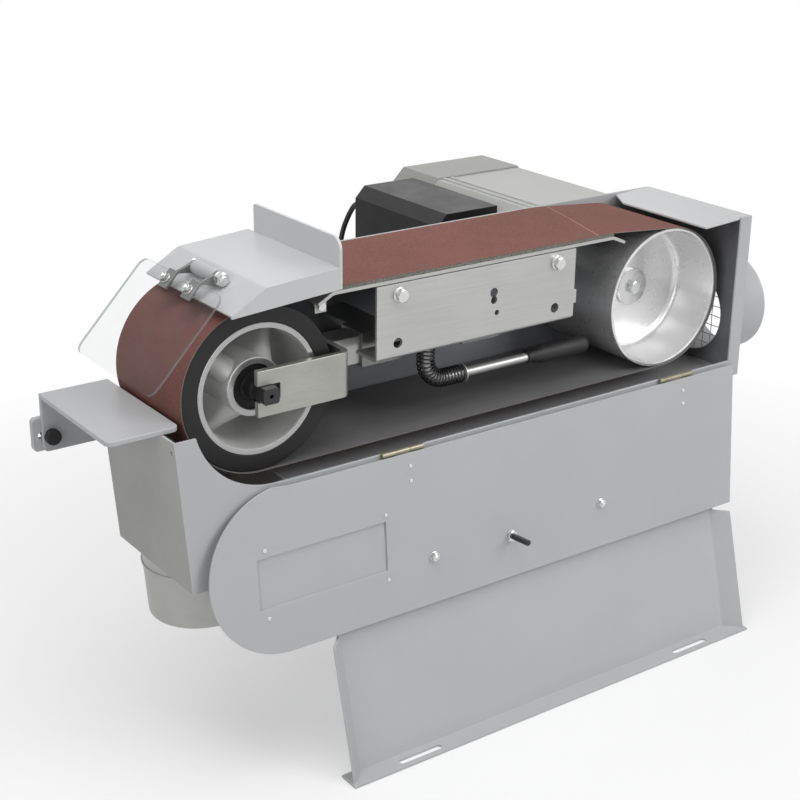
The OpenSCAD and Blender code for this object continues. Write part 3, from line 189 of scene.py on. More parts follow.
def new_material(name):
    """A material with an empty node tree, and the Shade that writes it."""
    mat = bpy.data.materials.new(name)
    mat.use_nodes = True
    return mat, Shade(mat.node_tree)


# ---------------------------------------------------------------- camera, light and floor
PHOTO_AZIMUTH = math.radians(35.824)
PHOTO_ELEVATION = math.radians(21.246)
PHOTO_ROLL = math.radians(0.682)
PHOTO_PLACE = Vector((-1.23544, -1.33176, 1.12542))
# Focal length and sensor width in millimetres
PHOTO_LENS, SENSOR_W = 70.4, 36
CLIP_NEAR, CLIP_FAR = 0.05, 60

# Name, place, target, width and height, and watts of each area light
LAMPS = (
    ("key", (1.4, -2.3, 1.9), (0, 0.2, 0.35), (1.8, 1.8), 49),
    ("top", (-0.7, -0.3, 2.5), (-0.2, 0.1, 0.45), (1.8, 1.6), 33),
    ("fill", (-2.5, -1.0, 1.3), (-0.3, 0.0, 0.45), (1.4, 1.4), 15),
    ("back", (1.5, 2.5, 1.8), (0, 0.3, 0.4), (1.8, 1.6), 5),
)
# Strength of the sky's light, and of what metal mirrors near the ground and overhead
AMBIENT, MIRROR_LOW, MIRROR_HIGH = 0.26, 0.22, 1.0
MIRROR_HEIGHTS = (-0.25, 0.7)

FLOOR_R = 6.0
FLOOR_PLACE = (0, 0.2, -0.0004)
# The floor throws less light up at the machine than it shows to the camera
FLOOR_THROWN, FLOOR_SHOWN = (0.62, 0.62, 0.62), (0.86, 0.86, 0.86)
# It fades to white between two distances, in metres, from one share of white to another
FLOOR_FADE = (0.35, 1.3, 0.45, 1.0)


def photo_axes():
    """Right, up and viewing direction of the photograph's camera."""
    sa, ca = math.sin(PHOTO_AZIMUTH), math.cos(PHOTO_AZIMUTH)
    se, ce = math.sin(PHOTO_ELEVATION), math.cos(PHOTO_ELEVATION)
    ahead = Vector((sa * ce, ca * ce, -se))
    right = Vector((ca, -sa, 0))
    up = right.cross(ahead)
    cr, sr = math.cos(PHOTO_ROLL), math.sin(PHOTO_ROLL)
    return right * cr + up * sr, up * cr - right * sr, ahead


def make_camera():
    """The camera, at the place from which the photograph was taken."""
    data = bpy.data.cameras.new("photo_camera")
    data.lens = PHOTO_LENS
    data.sensor_width = SENSOR_W
    data.clip_start = CLIP_NEAR
    data.clip_end = CLIP_FAR
    cam = add_object("photo_camera", data)
    right, up, ahead = photo_axes()
    turned = Matrix((right, up, -ahead)).transposed().to_4x4()
    turned.translation = PHOTO_PLACE
    cam.matrix_world = turned
    bpy.context.scene.camera = cam


def make_light():
    """Plain soft area lights."""
    for name, place, target, (width, height), watts in LAMPS:
        data = bpy.data.lights.new(name, "AREA")
        data.shape = "RECTANGLE"
        data.size = width
        data.size_y = height
        data.energy = watts
        lamp = add_object(name, data)
        lamp.location = place
        beam = Vector(target) - Vector(place)
        lamp.rotation_euler = beam.to_track_quat("-Z", "Y").to_euler()


def make_world():
    """A sky that is white to the camera and dimmer to all else."""
    world = bpy.data.worlds.new("studio")
    bpy.context.scene.world = world
    world.use_nodes = True
    s = Shade(world.node_tree)
    path = s.node("LightPath").outputs
    seen = s.math("MAXIMUM", path["Is Camera Ray"], path["Is Transmission Ray"])
    # What metal mirrors: pale overhead, grey towards the ground
    height = s.node("SeparateXYZ", Vector=s.node("TexCoord").outputs["Generated"]).outputs["Z"]
    mirrored = s.remap(height, *MIRROR_HEIGHTS, MIRROR_LOW, MIRROR_HIGH)
    others = s.math("SUBTRACT", 1.0, path["Is Glossy Ray"])
    level = s.math("ADD", s.math("MULTIPLY", path["Is Glossy Ray"], mirrored),
                   s.math("MULTIPLY", others, AMBIENT))
    strength = s.math("MAXIMUM", seen, level)
    s.finish(s.node("Background", Color=(1, 1, 1, 1), Strength=strength), "World")


def make_floor():
    """A plain pale floor."""
    bm = bmesh.new()
    bmesh.ops.create_circle(bm, cap_ends=True, segments=96, radius=FLOOR_R)
    mesh = bpy.data.meshes.new("floor")
    bm.to_mesh(mesh)
    bm.free()
    floor = add_object("floor", mesh)
    floor.location = FLOOR_PLACE
    mat, s = new_material("floor")
    path = s.node("LightPath").outputs
    away = s.node("VectorMath", operation="LENGTH", Vector=s.object_coords()).outputs["Value"]
    seen = s.math("MAXIMUM", path["Is Camera Ray"],
                  s.math("MAXIMUM", path["Is Transmission Ray"], path["Is Glossy Ray"]))
    share = s.math("MULTIPLY", seen, s.remap(away, *FLOOR_FADE))
    matt = s.node("BsdfDiffuse", Color=s.mix(seen, FLOOR_THROWN, FLOOR_SHOWN))
    white = s.node("Emission", Color=(1, 1, 1, 1), Strength=1.0)
    s.finish(s.layered(share, matt, white))
    mesh.materials.append(mat)


# ---------------------------------------------------------------- materials
# Scale, strength and height in metres of the fine relief
FINE_GRAIN = (900, 0.2, 0.0001)
PAINT_GRAIN = (700, 0.18, 0.00012)
METAL_GRAIN = (600, 0.12, 0.00006)
TURNED_GRAIN = (500, 0.10, 0.00005)
MOTOR_GRAIN = (420, 0.28, 0.0002)
PLASTIC_GRAIN = (900, 0.35, 0.0002)
# Radius in metres and colour of the paint's edges: rubbed pale, and with a painted highlight
PAINT_EDGE_WEAR_AND_HIGHLIGHT = (0.0007, (205, 205, 205))
# How far the roughness sways to each side
ROUGH_SWAY = 0.08
# A height in metres that is over every face
ANY_HEIGHT = 1.0


def surface(name, rgb, rough, mottle, metal=0.0, grain=FINE_GRAIN, brushed=None, turned=None,
            edge_wear_and_highlight=None, speckle=None, painted_light_by_facing=None, shine=0.5):
    """A Principled material whose colour, roughness and relief come from procedural noise.

    mottle: scale and depth of slow tone changes; grain: scale, strength and height of fine relief;
    brushed: stretch of the streaks along each axis and their strength; turned: centre (x, z) of
    concentric tool marks and their pitch; edge_wear_and_highlight: edge radius and colour of the
    edges, rubbed and with a painted highlight; speckle: scale, threshold and colour of fine dots;
    painted_light_by_facing: a direction, the colour painted as shade and light on the faces that
    look that way and the height under which they have it; shine: the strength of reflections.
    """
    mat, s = new_material(name)
    at = s.object_coords()
    base = lin(*rgb)
    slow = s.noise(at, mottle[0], detail=4, rough=0.6)
    low = tuple(c * (1 - mottle[1]) for c in base)
    high = tuple(min(c * (1 + mottle[1]), 1) for c in base)
    colour = s.mix(s.spread(slow, 0, 1), low, high)
    scale, strength, distance = grain
    relief = fine = s.noise(at, scale, detail=2, rough=0.5)
    if brushed:
        stretch, amount = brushed
        lines = s.noise(s.stretched(at, stretch), 1.0, detail=3, rough=0.6)
        relief = s.math("ADD", s.math("MULTIPLY", lines, amount), s.math("MULTIPLY", fine, 0.3))
        colour = s.mix(s.remap(lines, 0.25, 0.75, 0, 0.5), colour, tuple(c * 0.8 for c in base))
    if turned:
        centre, pitch = turned
        xyz = s.node("SeparateXYZ", Vector=at).outputs
        dx = s.math("SUBTRACT", xyz["X"], centre.x)
        dz = s.math("SUBTRACT", xyz["Z"], centre.z)
        square = s.math("ADD", s.math("MULTIPLY", dx, dx), s.math("MULTIPLY", dz, dz))
        ring = s.node("CombineXYZ", X=s.math("DIVIDE", s.math("SQRT", square), pitch),
                      Y=s.math("DIVIDE", xyz["Y"], pitch)).outputs[0]
        lines = s.noise(ring, 1.0, detail=4, rough=0.65)
        relief = s.math("ADD", lines, s.math("MULTIPLY", fine, 0.25))
        colour = s.mix(s.spread(lines, 0, 0.35), colour, tuple(c * 0.82 for c in base))
    if speckle:
        scale, threshold, dot = speckle
        spots = s.node("TexVoronoi", Vector=at, Scale=scale).outputs["Distance"]
        colour = s.mix(s.remap(spots, threshold * 0.7, threshold, 1, 0), colour, lin(*dot))
    # Painted shade and light: faces that look the given way, under the given height, take the given
    # colour in patches
    if painted_light_by_facing:
        way, tone, under = painted_light_by_facing
        towards = s.remap(s.facing(way), 0.45, 0.85, 0, 1)
        height = s.node("SeparateXYZ", Vector=at).outputs["Z"]
        towards = s.math("MULTIPLY", towards, s.remap(height, under - 0.004, under, 1, 0))
        patchy = s.spread(s.noise(at, 35, detail=4, rough=0.6), 0.8, 1)
        colour = s.mix(s.math("MULTIPLY", towards, patchy), colour, lin(*tone))
    # Edges rubbed pale and with a painted highlight, in patches
    if edge_wear_and_highlight:
        radius, worn_and_lit = edge_wear_and_highlight
        rounded = s.node("Bevel", samples=6, Radius=radius).outputs["Normal"]
        flat = s.node("NewGeometry").outputs["Normal"]
        edge = s.remap(s.dot(rounded, flat), 0.80, 0.97, 1, 0)
        patchy = s.remap(s.noise(at, 130, detail=4, rough=0.65), 0.38, 0.62, 0.15, 1)
        colour = s.mix(s.math("MULTIPLY", edge, patchy), colour, lin(*worn_and_lit))
    roughness = s.spread(slow, rough - ROUGH_SWAY, rough + ROUGH_SWAY)
    s.solid(colour, roughness, relief, strength, distance, metal, shine)
    return mat


def clear_plastic():
    """The guard's clear sheet: nearly invisible, with a faint shine, and grey where it is cut."""
    mat, s = new_material("clear_sheet")
    smear = s.noise(s.object_coords(), 30, detail=4, rough=0.6)
    cut = s.remap(s.math("ABSOLUTE", s.facing(SCREEN_OUT)), 0.5, 0.8, 1, 0)
    through = s.node("BsdfTransparent", Color=s.mix(cut, (0.975, 0.98, 0.98), (0.62, 0.65, 0.66)))
    shine = s.node("BsdfPrincipled", Base_Color=(0.4, 0.41, 0.42, 1),
                   Roughness=s.spread(smear, 0.05, 0.2))
    share = s.math("ADD", s.spread(smear, 0.02, 0.05), s.math("MULTIPLY", cut, 0.25))
    s.finish(s.layered(share, through, shine))
    return mat


# Where the belt's join crosses Y = 0, and its slant
SEAM_X, SEAM_SLANT = 0.0834, 0.308


def abrasive():
    """Red-brown grains in resin, with the paler line where the belt's ends are joined."""
    mat, s = new_material("abrasive_cloth")
    at = s.object_coords()
    slow = s.noise(at, 14, detail=4, rough=0.6)
    grains = s.node("TexVoronoi", Vector=at, Scale=1500).outputs["Distance"]
    tint = s.noise(at, 1100, detail=2, rough=0.6)
    patches = s.noise(at, 420, detail=3, rough=0.7)
    xyz = s.node("SeparateXYZ", Vector=at).outputs
    # The join runs slantwise over the top run
    middle = s.math("MULTIPLY_ADD", xyz["Y"], SEAM_SLANT, SEAM_X)
    across = s.math("ABSOLUTE", s.math("SUBTRACT", xyz["X"], middle))
    on_top = s.math("GREATER_THAN", xyz["Z"], head(0, 0, 60).z)
    line = s.math("MULTIPLY", s.remap(across, 0.0004, 0.0010, 1, 0), on_top)
    colour = s.mix(s.spread(slow, 0, 1), lin(120, 79, 72), lin(131, 88, 80))
    for share, tone in ((s.remap(tint, 0.35, 0.72, 0, 0.6), (92, 58, 53)),
                        (s.remap(grains, 0.0, 0.16, 0.22, 0), (176, 138, 128)),
                        (s.remap(patches, 0.32, 0.5, 0.38, 0), (88, 56, 52)),
                        (s.remap(patches, 0.52, 0.7, 0, 0.3), (160, 120, 110)),
                        (s.math("MULTIPLY", line, 0.75), (186, 150, 140))):
        colour = s.mix(share, colour, lin(*tone))
    relief = s.math("SUBTRACT", s.math("ADD", s.math("MULTIPLY", grains, 0.8), tint), line)
    s.solid(colour, s.spread(tint, 0.62, 0.82), relief, strength=0.55, distance=0.0004, metal=0.0,
            shine=0.2)
    return mat


SURFACES = {
    "paint": dict(rgb=(176, 177, 179), rough=0.42, mottle=(5, 0.03), grain=PAINT_GRAIN,
                  edge_wear_and_highlight=PAINT_EDGE_WEAR_AND_HIGHLIGHT),
    # The back plate's paint, with painted shade on its front faces low inside the housing
    "plate_paint_shaded": dict(rgb=(172, 173, 175), rough=0.46, mottle=(5, 0.04), grain=PAINT_GRAIN,
                        edge_wear_and_highlight=PAINT_EDGE_WEAR_AND_HIGHLIGHT, painted_light_by_facing=(-Y, (146, 148, 153), head(0, 0, 88).z)),
    # The tray's paint, with painted shade on its top faces inside the housing
    "tray_paint_shaded": dict(rgb=(172, 173, 175), rough=0.46, mottle=(5, 0.04), grain=PAINT_GRAIN,
                       painted_light_by_facing=(Z, (152, 153, 155), ANY_HEIGHT)),
    # The right wall's paint, with painted shade on its inner faces that look left
    "wall_paint_shaded": dict(rgb=(172, 173, 175), rough=0.42, mottle=(5, 0.03), grain=PAINT_GRAIN,
                       edge_wear_and_highlight=PAINT_EDGE_WEAR_AND_HIGHLIGHT, painted_light_by_facing=(-X, (112, 114, 118), ANY_HEIGHT)),
    # The chute's paint, with warmer painted shade on its faces that look left
    "chute_paint_shaded": dict(rgb=(176, 177, 179), rough=0.42, mottle=(5, 0.03), grain=PAINT_GRAIN,
                        edge_wear_and_highlight=PAINT_EDGE_WEAR_AND_HIGHLIGHT, painted_light_by_facing=(-X, (153, 153, 150), ANY_HEIGHT)),
    "paint_light": dict(rgb=(190, 191, 192), rough=0.36, mottle=(5, 0.03),
                        grain=(700, 0.16, 0.00012), edge_wear_and_highlight=PAINT_EDGE_WEAR_AND_HIGHLIGHT),
    # The fence's paint, painted lighter for the light thrown up from the cover below, with paler
    # edges
    "fence_paint_lit": dict(rgb=(198, 199, 201), rough=0.40, mottle=(5, 0.04), grain=PAINT_GRAIN,
                        edge_wear_and_highlight=(0.0007, (225, 225, 225))),
    "galvanised": dict(rgb=(172, 172, 169), rough=0.42, metal=0.55, mottle=(24, 0.08)),
    "zinc": dict(rgb=(187, 188, 186), rough=0.36, metal=0.7, mottle=(10, 0.06), grain=METAL_GRAIN,
                 brushed=((14, 60, 500), 0.8), edge_wear_and_highlight=(0.0006, (236, 236, 234))),
    "link_steel": dict(rgb=(132, 134, 132), rough=0.38, metal=0.7, mottle=(20, 0.12),
                       grain=METAL_GRAIN, edge_wear_and_highlight=(0.0008, (232, 232, 230))),
    "hinge_steel": dict(rgb=(150, 146, 126), rough=0.36, metal=0.7, mottle=(60, 0.16),
                        grain=METAL_GRAIN, edge_wear_and_highlight=(0.0005, (224, 220, 200))),
    "fork_steel": dict(rgb=(170, 170, 164), rough=0.38, metal=0.75, mottle=(16, 0.10),
                       grain=METAL_GRAIN, brushed=((30, 60, 400), 0.6),
                       edge_wear_and_highlight=(0.0012, (246, 246, 242))),
    "bright": dict(rgb=(212, 213, 212), rough=0.22, metal=0.9, mottle=(60, 0.06),
                   grain=(900, 0.10, 0.00005)),
    "dark_steel": dict(rgb=(62, 62, 64), rough=0.36, metal=0.75, mottle=(40, 0.12)),
    "turned_drum": dict(rgb=(230, 230, 230), rough=0.29, metal=0.7, mottle=(8, 0.04),
                        grain=TURNED_GRAIN, turned=(DRUM_C, 0.0011)),
    "cast_wheel": dict(rgb=(200, 200, 199), rough=0.48, metal=0.45, mottle=(22, 0.08),
                       grain=(420, 0.45, 0.0003)),
    "turned_face": dict(rgb=(176, 176, 176), rough=0.30, metal=0.8, mottle=(14, 0.03),
                        grain=TURNED_GRAIN, turned=(WHEEL_C, 0.0009)),
    "tyre": dict(rgb=(26, 26, 27), rough=0.52, mottle=(18, 0.12), grain=(520, 0.25, 0.00015),
                 shine=0.35),
    "grip": dict(rgb=(34, 34, 35), rough=0.52, mottle=(40, 0.10), grain=(700, 0.3, 0.0002),
                 shine=0.4),
    "seal": dict(rgb=(24, 24, 25), rough=0.5, mottle=(40, 0.08), shine=0.3),
    "graphite": dict(rgb=(112, 110, 102), rough=0.62, mottle=(60, 0.14),
                     grain=(900, 0.9, 0.0006), speckle=(520, 0.46, (58, 56, 51))),
    "motor_paint": dict(rgb=(178, 179, 175), rough=0.42, mottle=(7, 0.03), grain=MOTOR_GRAIN),
    "cowl_paint": dict(rgb=(152, 153, 149), rough=0.42, mottle=(7, 0.04), grain=MOTOR_GRAIN),
    "iron": dict(rgb=(110, 104, 98), rough=0.6, metal=0.5, mottle=(30, 0.1)),
    "black_plastic": dict(rgb=(34, 34, 36), rough=0.44, mottle=(20, 0.06), grain=PLASTIC_GRAIN,
                          shine=0.3),
    # Black plastic whose top faces are painted lighter: fine dust and a painted sheen
    "box_plastic_dust_and_sheen": dict(rgb=(26, 26, 28), rough=0.46, mottle=(20, 0.06), grain=PLASTIC_GRAIN,
                        painted_light_by_facing=(Z, (74, 74, 74), ANY_HEIGHT), shine=0.2),
    "lead": dict(rgb=(26, 26, 27), rough=0.42, mottle=(60, 0.08), grain=(900, 0.15, 0.0001)),
    "green": dict(rgb=(30, 120, 58), rough=0.32, mottle=(50, 0.04)),
    "red": dict(rgb=(186, 30, 28), rough=0.32, mottle=(50, 0.04)),
    "belt_edge": dict(rgb=(112, 98, 90), rough=0.7, mottle=(300, 0.3)),
    "belt_back": dict(rgb=(104, 104, 105), rough=0.8, mottle=(40, 0.08),
                      grain=(900, 0.6, 0.0003), brushed=((12, 260, 40), 0.5), shine=0.3),
}
LOOKS = {name: surface(name, **settings) for name, settings in SURFACES.items()}
LOOKS["clear"] = clear_plastic()
LOOKS["abrasive"] = abrasive()

LOOK_OF = by_node({
    "paint": "base_panel base_column base_top_plate housing_front outlet_spigot"
             " guard_tube side_door door_window door_pull work_table table_arm",
    "chute_paint_shaded": "dust_chute",
    "plate_paint_shaded": "back_plate",
    "tray_paint_shaded": "housing_tray",
    "wall_paint_shaded": "right_wall",
    "fence_paint_lit": "fence",
    "paint_light": "wheel_cover top_end_cover",
    "galvanised": "chute_spigot outlet_mesh",
    "zinc": "platen_bracket tension_slide tension_lever platen",
    "link_steel": "guard_links slide_guide",
    "hinge_steel": "door_hinges door_leaves",
    "fork_steel": "fork",
    "bright": "guard_pivot_bolt guard_screws door_rivets door_nuts bracket_bolts drum_bolt"
              " motor_shaft",
    "dark_steel": "wheel_axle lever_spring door_latch",
    "seal": "wheel_bearings",
    "turned_drum": "drive_drum",
    "cast_wheel": "wheel_core",
    "tyre": "wheel_tyre",
    "grip": "lever_grip",
    "lead": "motor_lead",
    "abrasive": "belt",
    "graphite": "platen_pad",
    "motor_paint": "motor_housing motor_flange",
    "cowl_paint": "fan_cowl",
    "iron": "motor_rotor motor_stator",
    "black_plastic": "switch_plate cable_glands motor_fan table_knob",
    "box_plastic_dust_and_sheen": "terminal_box",
    "clear": "guard_screen",
    "green": "start_button",
    "red": "stop_button",
})

# Width of the rounded edges of the CAD nodes in millimetres; 0 leaves them sharp
DEFAULT_EDGE = 0.6
EDGE_OF = by_node({
    0.0: "lever_grip outlet_mesh lever_spring motor_lead motor_rotor motor_stator motor_fan belt",
    0.3: "platen_pad",
    0.4: "door_rivets platen guard_screen",
    0.5: "tension_lever platen_bracket wheel_bearings",
    0.8: "wheel_cover top_end_cover wheel_axle slide_guide dust_chute",
    0.9: "fork fence table_arm",
    1.0: "work_table motor_flange start_button stop_button",
    1.2: "tension_slide",
    1.5: "switch_plate table_knob",
    1.6: "wheel_tyre",
    2.0: "motor_housing fan_cowl",
    2.2: "terminal_box",
})
EDGE_STEPS = 3
# Edges are rounded from this angle on, and faces under the other one count as flat
EDGE_ANGLE, FLAT_ANGLE = math.radians(28), math.radians(0.6)
WELD_GAP = 0.00001
NORMAL_WEIGHT = 60


def dress_cad():
    """Gives the CAD nodes their materials, and rounded edges by modifiers."""
    for name, node in NODES.items():
        node.data.materials.clear()
        node.data.materials.append(LOOKS[LOOK_OF[name]])
        for p in node.data.polygons:
            p.use_smooth = True
        weld = node.modifiers.new("weld", "WELD")
        weld.merge_threshold = WELD_GAP
        width = EDGE_OF.get(name, DEFAULT_EDGE) * MM
        if width > 0:
            flat = node.modifiers.new("flat", "DECIMATE")
            flat.decimate_type = "DISSOLVE"
            flat.angle_limit = FLAT_ANGLE
            round_off = node.modifiers.new("edges", "BEVEL")
            round_off.width = width
            round_off.segments = EDGE_STEPS
            round_off.limit_method = "ANGLE"
            round_off.angle_limit = EDGE_ANGLE
            round_off.miter_outer = "MITER_ARC"
        normals = node.modifiers.new("normals", "WEIGHTED_NORMAL")
        normals.weight = NORMAL_WEIGHT
        normals.keep_sharp = False


# ---------------------------------------------------------------- mesh helpers
def side_axes(axis):
    """Two unit vectors square to axis."""
    axis = axis.normalized()
    guide = Z if abs(axis.z) < 0.9 else X
    u = guide.cross(axis).normalized()
    return u, axis.cross(u)


def circle(centre, u, v, radius, sides):
    """A ring of points in the plane of u and v; the radius is in millimetres."""
    return [centre + (u * math.cos(a) + v * math.sin(a)) * (radius * MM)
            for a in (2 * math.pi * i / sides for i in range(sides))]


class Build:
    """Collects the vertices and faces of one piece; lengths in millimetres, places in metres."""

    def __init__(self, name):
        self.name = name
        self.points = []
        self.faces = []
        self.marks = []
        self.looks = []

    def add(self, points, faces, look):
        """Adds faces of one look, or with a list of looks, one for each face."""
        names = [look] * len(faces) if isinstance(look, str) else look
        for name in names:
            if name not in self.looks:
                self.looks.append(name)
        start = len(self.points)
        self.points += [tuple(p) for p in points]
        self.faces += [[start + i for i in f] for f in faces]
        self.marks += [self.looks.index(name) for name in names]

    def rings(self, rows, look, loop=False):
        """Joins rows of points, each a closed ring or a single point, with caps at open ends.

        The look may be a list, with one look for each stretch between two rows.
        """
        points, faces, spans, names = [], [], [], []
        for row in rows:
            spans.append((len(points), len(row)))
            points += row
        pairs = list(zip(spans, spans[1:]))
        if loop:
            pairs.append((spans[-1], spans[0]))
        for i, ((a, na), (b, nb)) in enumerate(pairs):
            n = max(na, nb)
            names += [look if isinstance(look, str) else look[i]] * n
            for j in range(n):
                k = (j + 1) % n
                if na == 1:
                    faces.append((a, b + k, b + j))
                elif nb == 1:
                    faces.append((a + j, a + k, b))
                else:
                    faces.append((a + j, a + k, b + k, b + j))
        if not loop:
            for start, n in (spans[0], spans[-1]):
                if n > 1:
                    faces.append(tuple(range(start, start + n)))
                    names.append(names[0])
        self.add(points, faces, names)

    def lathe(self, profile, at, axis, look, sides, loop=False):
        """Turns (radius, height) pairs about axis through at."""
        u, v = side_axes(axis)
        rows = []
        for r, h in profile:
            centre = at + axis * (h * MM)
            rows.append(circle(centre, u, v, r, sides) if r > 0 else [centre])
        self.rings(rows, look, loop)

    def hexagon(self, at, axis, across, low, high, look, turn):
        """A hexagon head or nut whose corners are turned down."""
        u, v = side_axes(axis)
        sides, sixth, slope = 36, math.pi / 3, 0.55
        inner = across * 0.465
        rows = []
        for height, chamfer in ((low, 0), (low, slope), (high, -slope), (high, 0)):
            row = []
            for i in range(sides):
                a = 2 * math.pi * i / sides
                off_flat = (a + sixth / 2) % sixth - sixth / 2
                corner = across / 2 / math.cos(off_flat)
                r = corner if chamfer else inner
                h = height + (corner - inner) * chamfer
                around = u * math.cos(a + turn) + v * math.sin(a + turn)
                row.append(at + around * (r * MM) + axis * (h * MM))
            rows.append(row)
        self.rings(rows, look)

    def thread(self, at, axis, r, low, high, look, pitch):
        """A threaded stretch of bolt, shown as rings, with a turned point."""
        profile = [(0, low), (r * 0.98, low)]
        h = low
        while h + pitch < high - 0.8:
            profile += [(r, h + pitch * 0.25), (r, h + pitch * 0.4), (r * 0.88, h + pitch * 0.7)]
            h += pitch
        profile += [(r * 0.97, high - 0.9), (r * 0.72, high), (0, high)]
        self.lathe(profile, at, axis, look, 32)

    def washer(self, at, axis, bore, r, low, high, look):
        """A flat ring with rounded outer edges."""
        e = min(0.25, (high - low) / 3)
        profile = [(bore, low), (r - e, low), (r, low + e), (r, high - e), (r - e, high),
                   (bore, high)]
        self.lathe(profile, at, axis, look, 40, loop=True)

    def tube(self, path, radius, look, sides):
        """A round tube along a path of places."""
        rows = []
        along = (path[1] - path[0]).normalized()
        u, v = side_axes(along)
        for i, p in enumerate(path):
            ahead = path[min(i + 1, len(path) - 1)] - path[max(i - 1, 0)]
            ahead.normalize()
            u.rotate(along.rotation_difference(ahead))
            along = ahead
            u = (u - along * u.dot(along)).normalized()
            v = along.cross(u)
            rows.append(circle(p, u, v, radius, sides))
        self.rings(rows, look)

    def done(self, body, replaced, slot, sharp):
        """Makes the piece, on its body and in place of the CAD nodes that it stands for."""
        bm = bmesh.new()
        verts = [bm.verts.new(p) for p in self.points]
        for face, mark in zip(self.faces, self.marks):
            f = bm.faces.new([verts[i] for i in face])
            f.material_index = mark
            f.smooth = True
        bmesh.ops.remove_doubles(bm, verts=bm.verts, dist=1e-7)
        bmesh.ops.recalc_face_normals(bm, faces=bm.faces)
        mesh = bpy.data.meshes.new(self.name)
        bm.to_mesh(mesh)
        bm.free()
        for look in self.looks:
            mesh.materials.append(LOOKS[look])
        mesh.set_sharp_from_angle(angle=math.radians(sharp))
        obj = add_object(self.name, mesh)
        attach(obj, body)
        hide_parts(*replaced)


# ---------------------------------------------------------------- contact wheel and drum
WHEEL_W = 160
SPOKES, SPOKE_TURN = 4, 54
# Where a spoke leaves the hub and how far out it reaches
SPOKE_IN, SPOKE_REACH = 34, 38.9


def make_wheel():
    """The cast wheel: rim and hub joined by four round-nosed spokes that spread at the hub."""
    b = Build("wheel_casting")
    # (radius, depth) pairs of the front halves, and of the bore behind the bearing seats
    rim = [(78.95, 0.4), (78.6, 0), (73.1, 0), (72.6, 0.5), (72.0, 4), (71.2, 16), (70.5, 45),
           (70.2, 80)]
    hub = [(27.6, 10.8), (28.2, 10), (34.6, 10), (35.5, 10.9), (36.4, 24), (37.0, 80)]
    bore = [(27.6, 132.8), (24.6, 132.8), (24.6, 27.2), (27.6, 27.2)]
    for half, rest in ((rim, []), (hub, bore)):
        profile = half + [(r, WHEEL_W - y) for r, y in reversed(half[:-1])] + rest
        looks = ["turned_face" if p[1] == q[1] else "cast_wheel"
                 for p, q in zip(profile, profile[1:] + profile[:1])]
        b.lathe(profile, WHEEL_C, Y, looks, 128, loop=True)
    steps, around = 24, 16
    for k in range(SPOKES):
        start = math.radians(SPOKE_TURN + 90 * k)
        rows = []
        for i in range(steps + 1):
            f = i / steps
            r = SPOKE_IN + SPOKE_REACH * f
            # Half its width: wide at the hub, and with a fillet at the rim
            half = 6 + 11 * (1 - f) ** 1.6 + 5 * math.exp((r - 72.5) / 3.5)
            row = []
            for side in (1, -1):
                for j in range(around + 1):
                    p = math.pi * j / around
                    # It falls back towards the rim and is round across
                    depth = 12 + 36 * f ** 0.85 + 0.9 * half * (1 - math.sin(p))
                    y = depth if side > 0 else WHEEL_W - depth
                    a = start + side * half * math.cos(p) / r
                    row.append(WHEEL_C + Vector((r * math.cos(a), y, r * math.sin(a))) * MM)
            rows.append(row)
        b.rings(rows, "cast_wheel")
    b.done("wheel", ["wheel_core"], "cast_aluminium", sharp=36)


# Depth of the drum's web, radius of the cup's wall there and of its inner corner
WEB_Y, CUP_R, CORNER_R = 68, 88.6, 10


def make_drum():
    """The drum: a turned cup in front, a web and a hub behind, with rounded inner corners."""
    b = Build("drum_casting")
    corner = [(CUP_R - CORNER_R * (1 - math.cos(a)), WEB_Y - CORNER_R * (1 - math.sin(a)))
              for a in (math.radians(10 * i) for i in range(10))]
    profile = [(97, 0.8), (96.4, 0.2), (95.6, 0), (93.6, 0), (92.8, 0.8), (90.6, 30), *corner,
               (58, WEB_Y), (12.6, WEB_Y), (12.6, 140), (30, 140), (30, 79), (34, 77), (84, 77),
               (88, 81), (90, 158), (91, 160), (95.6, 160), (96.5, 159.8), (97, 159.2)]
    b.lathe(profile, DRUM_C, Y, "turned_drum", 160, loop=True)
    b.done("drum", ["drive_drum"], "cast_aluminium", sharp=30)


# ---------------------------------------------------------------- belt
# Radii of the belt's inner face on the wheel and on the drum
WHEEL_R, DRUM_R = 100.3, 97.3
# Both ends of the platen's pad, in X and Z
PAD = ((100.0, 103.3), (535.0, 103.3))


def belt_outline(o):
    """The belt's loop in X and Z, at height o over its inner face."""
    steps = 72
    rw, rd = WHEEL_R + o, DRUM_R + o
    p, q = ((x, z + o) for x, z in PAD)

    def tangent(c, point, r, side):
        d = math.hypot(point[0] - c[0], point[1] - c[1])
        return math.atan2(point[1] - c[1], point[0] - c[0]) + side * math.acos(r / d)

    def arc(c, r, start, end):
        return [(c[0] + r * math.cos(a), c[1] + r * math.sin(a))
                for a in (start + (end - start) * i / steps for i in range(steps + 1))]

    low = math.atan2(DRUM_AT[1], DRUM_AT[0]) - math.acos((rw - rd) / math.hypot(*DRUM_AT))
    wheel_at = (0, 0)
    round_wheel = arc(wheel_at, rw, tangent(wheel_at, p, rw, 1), 2 * math.pi + low)
    return round_wheel + arc(DRUM_AT, rd, low, tangent(DRUM_AT, q, rd, -1)) + [q, p]


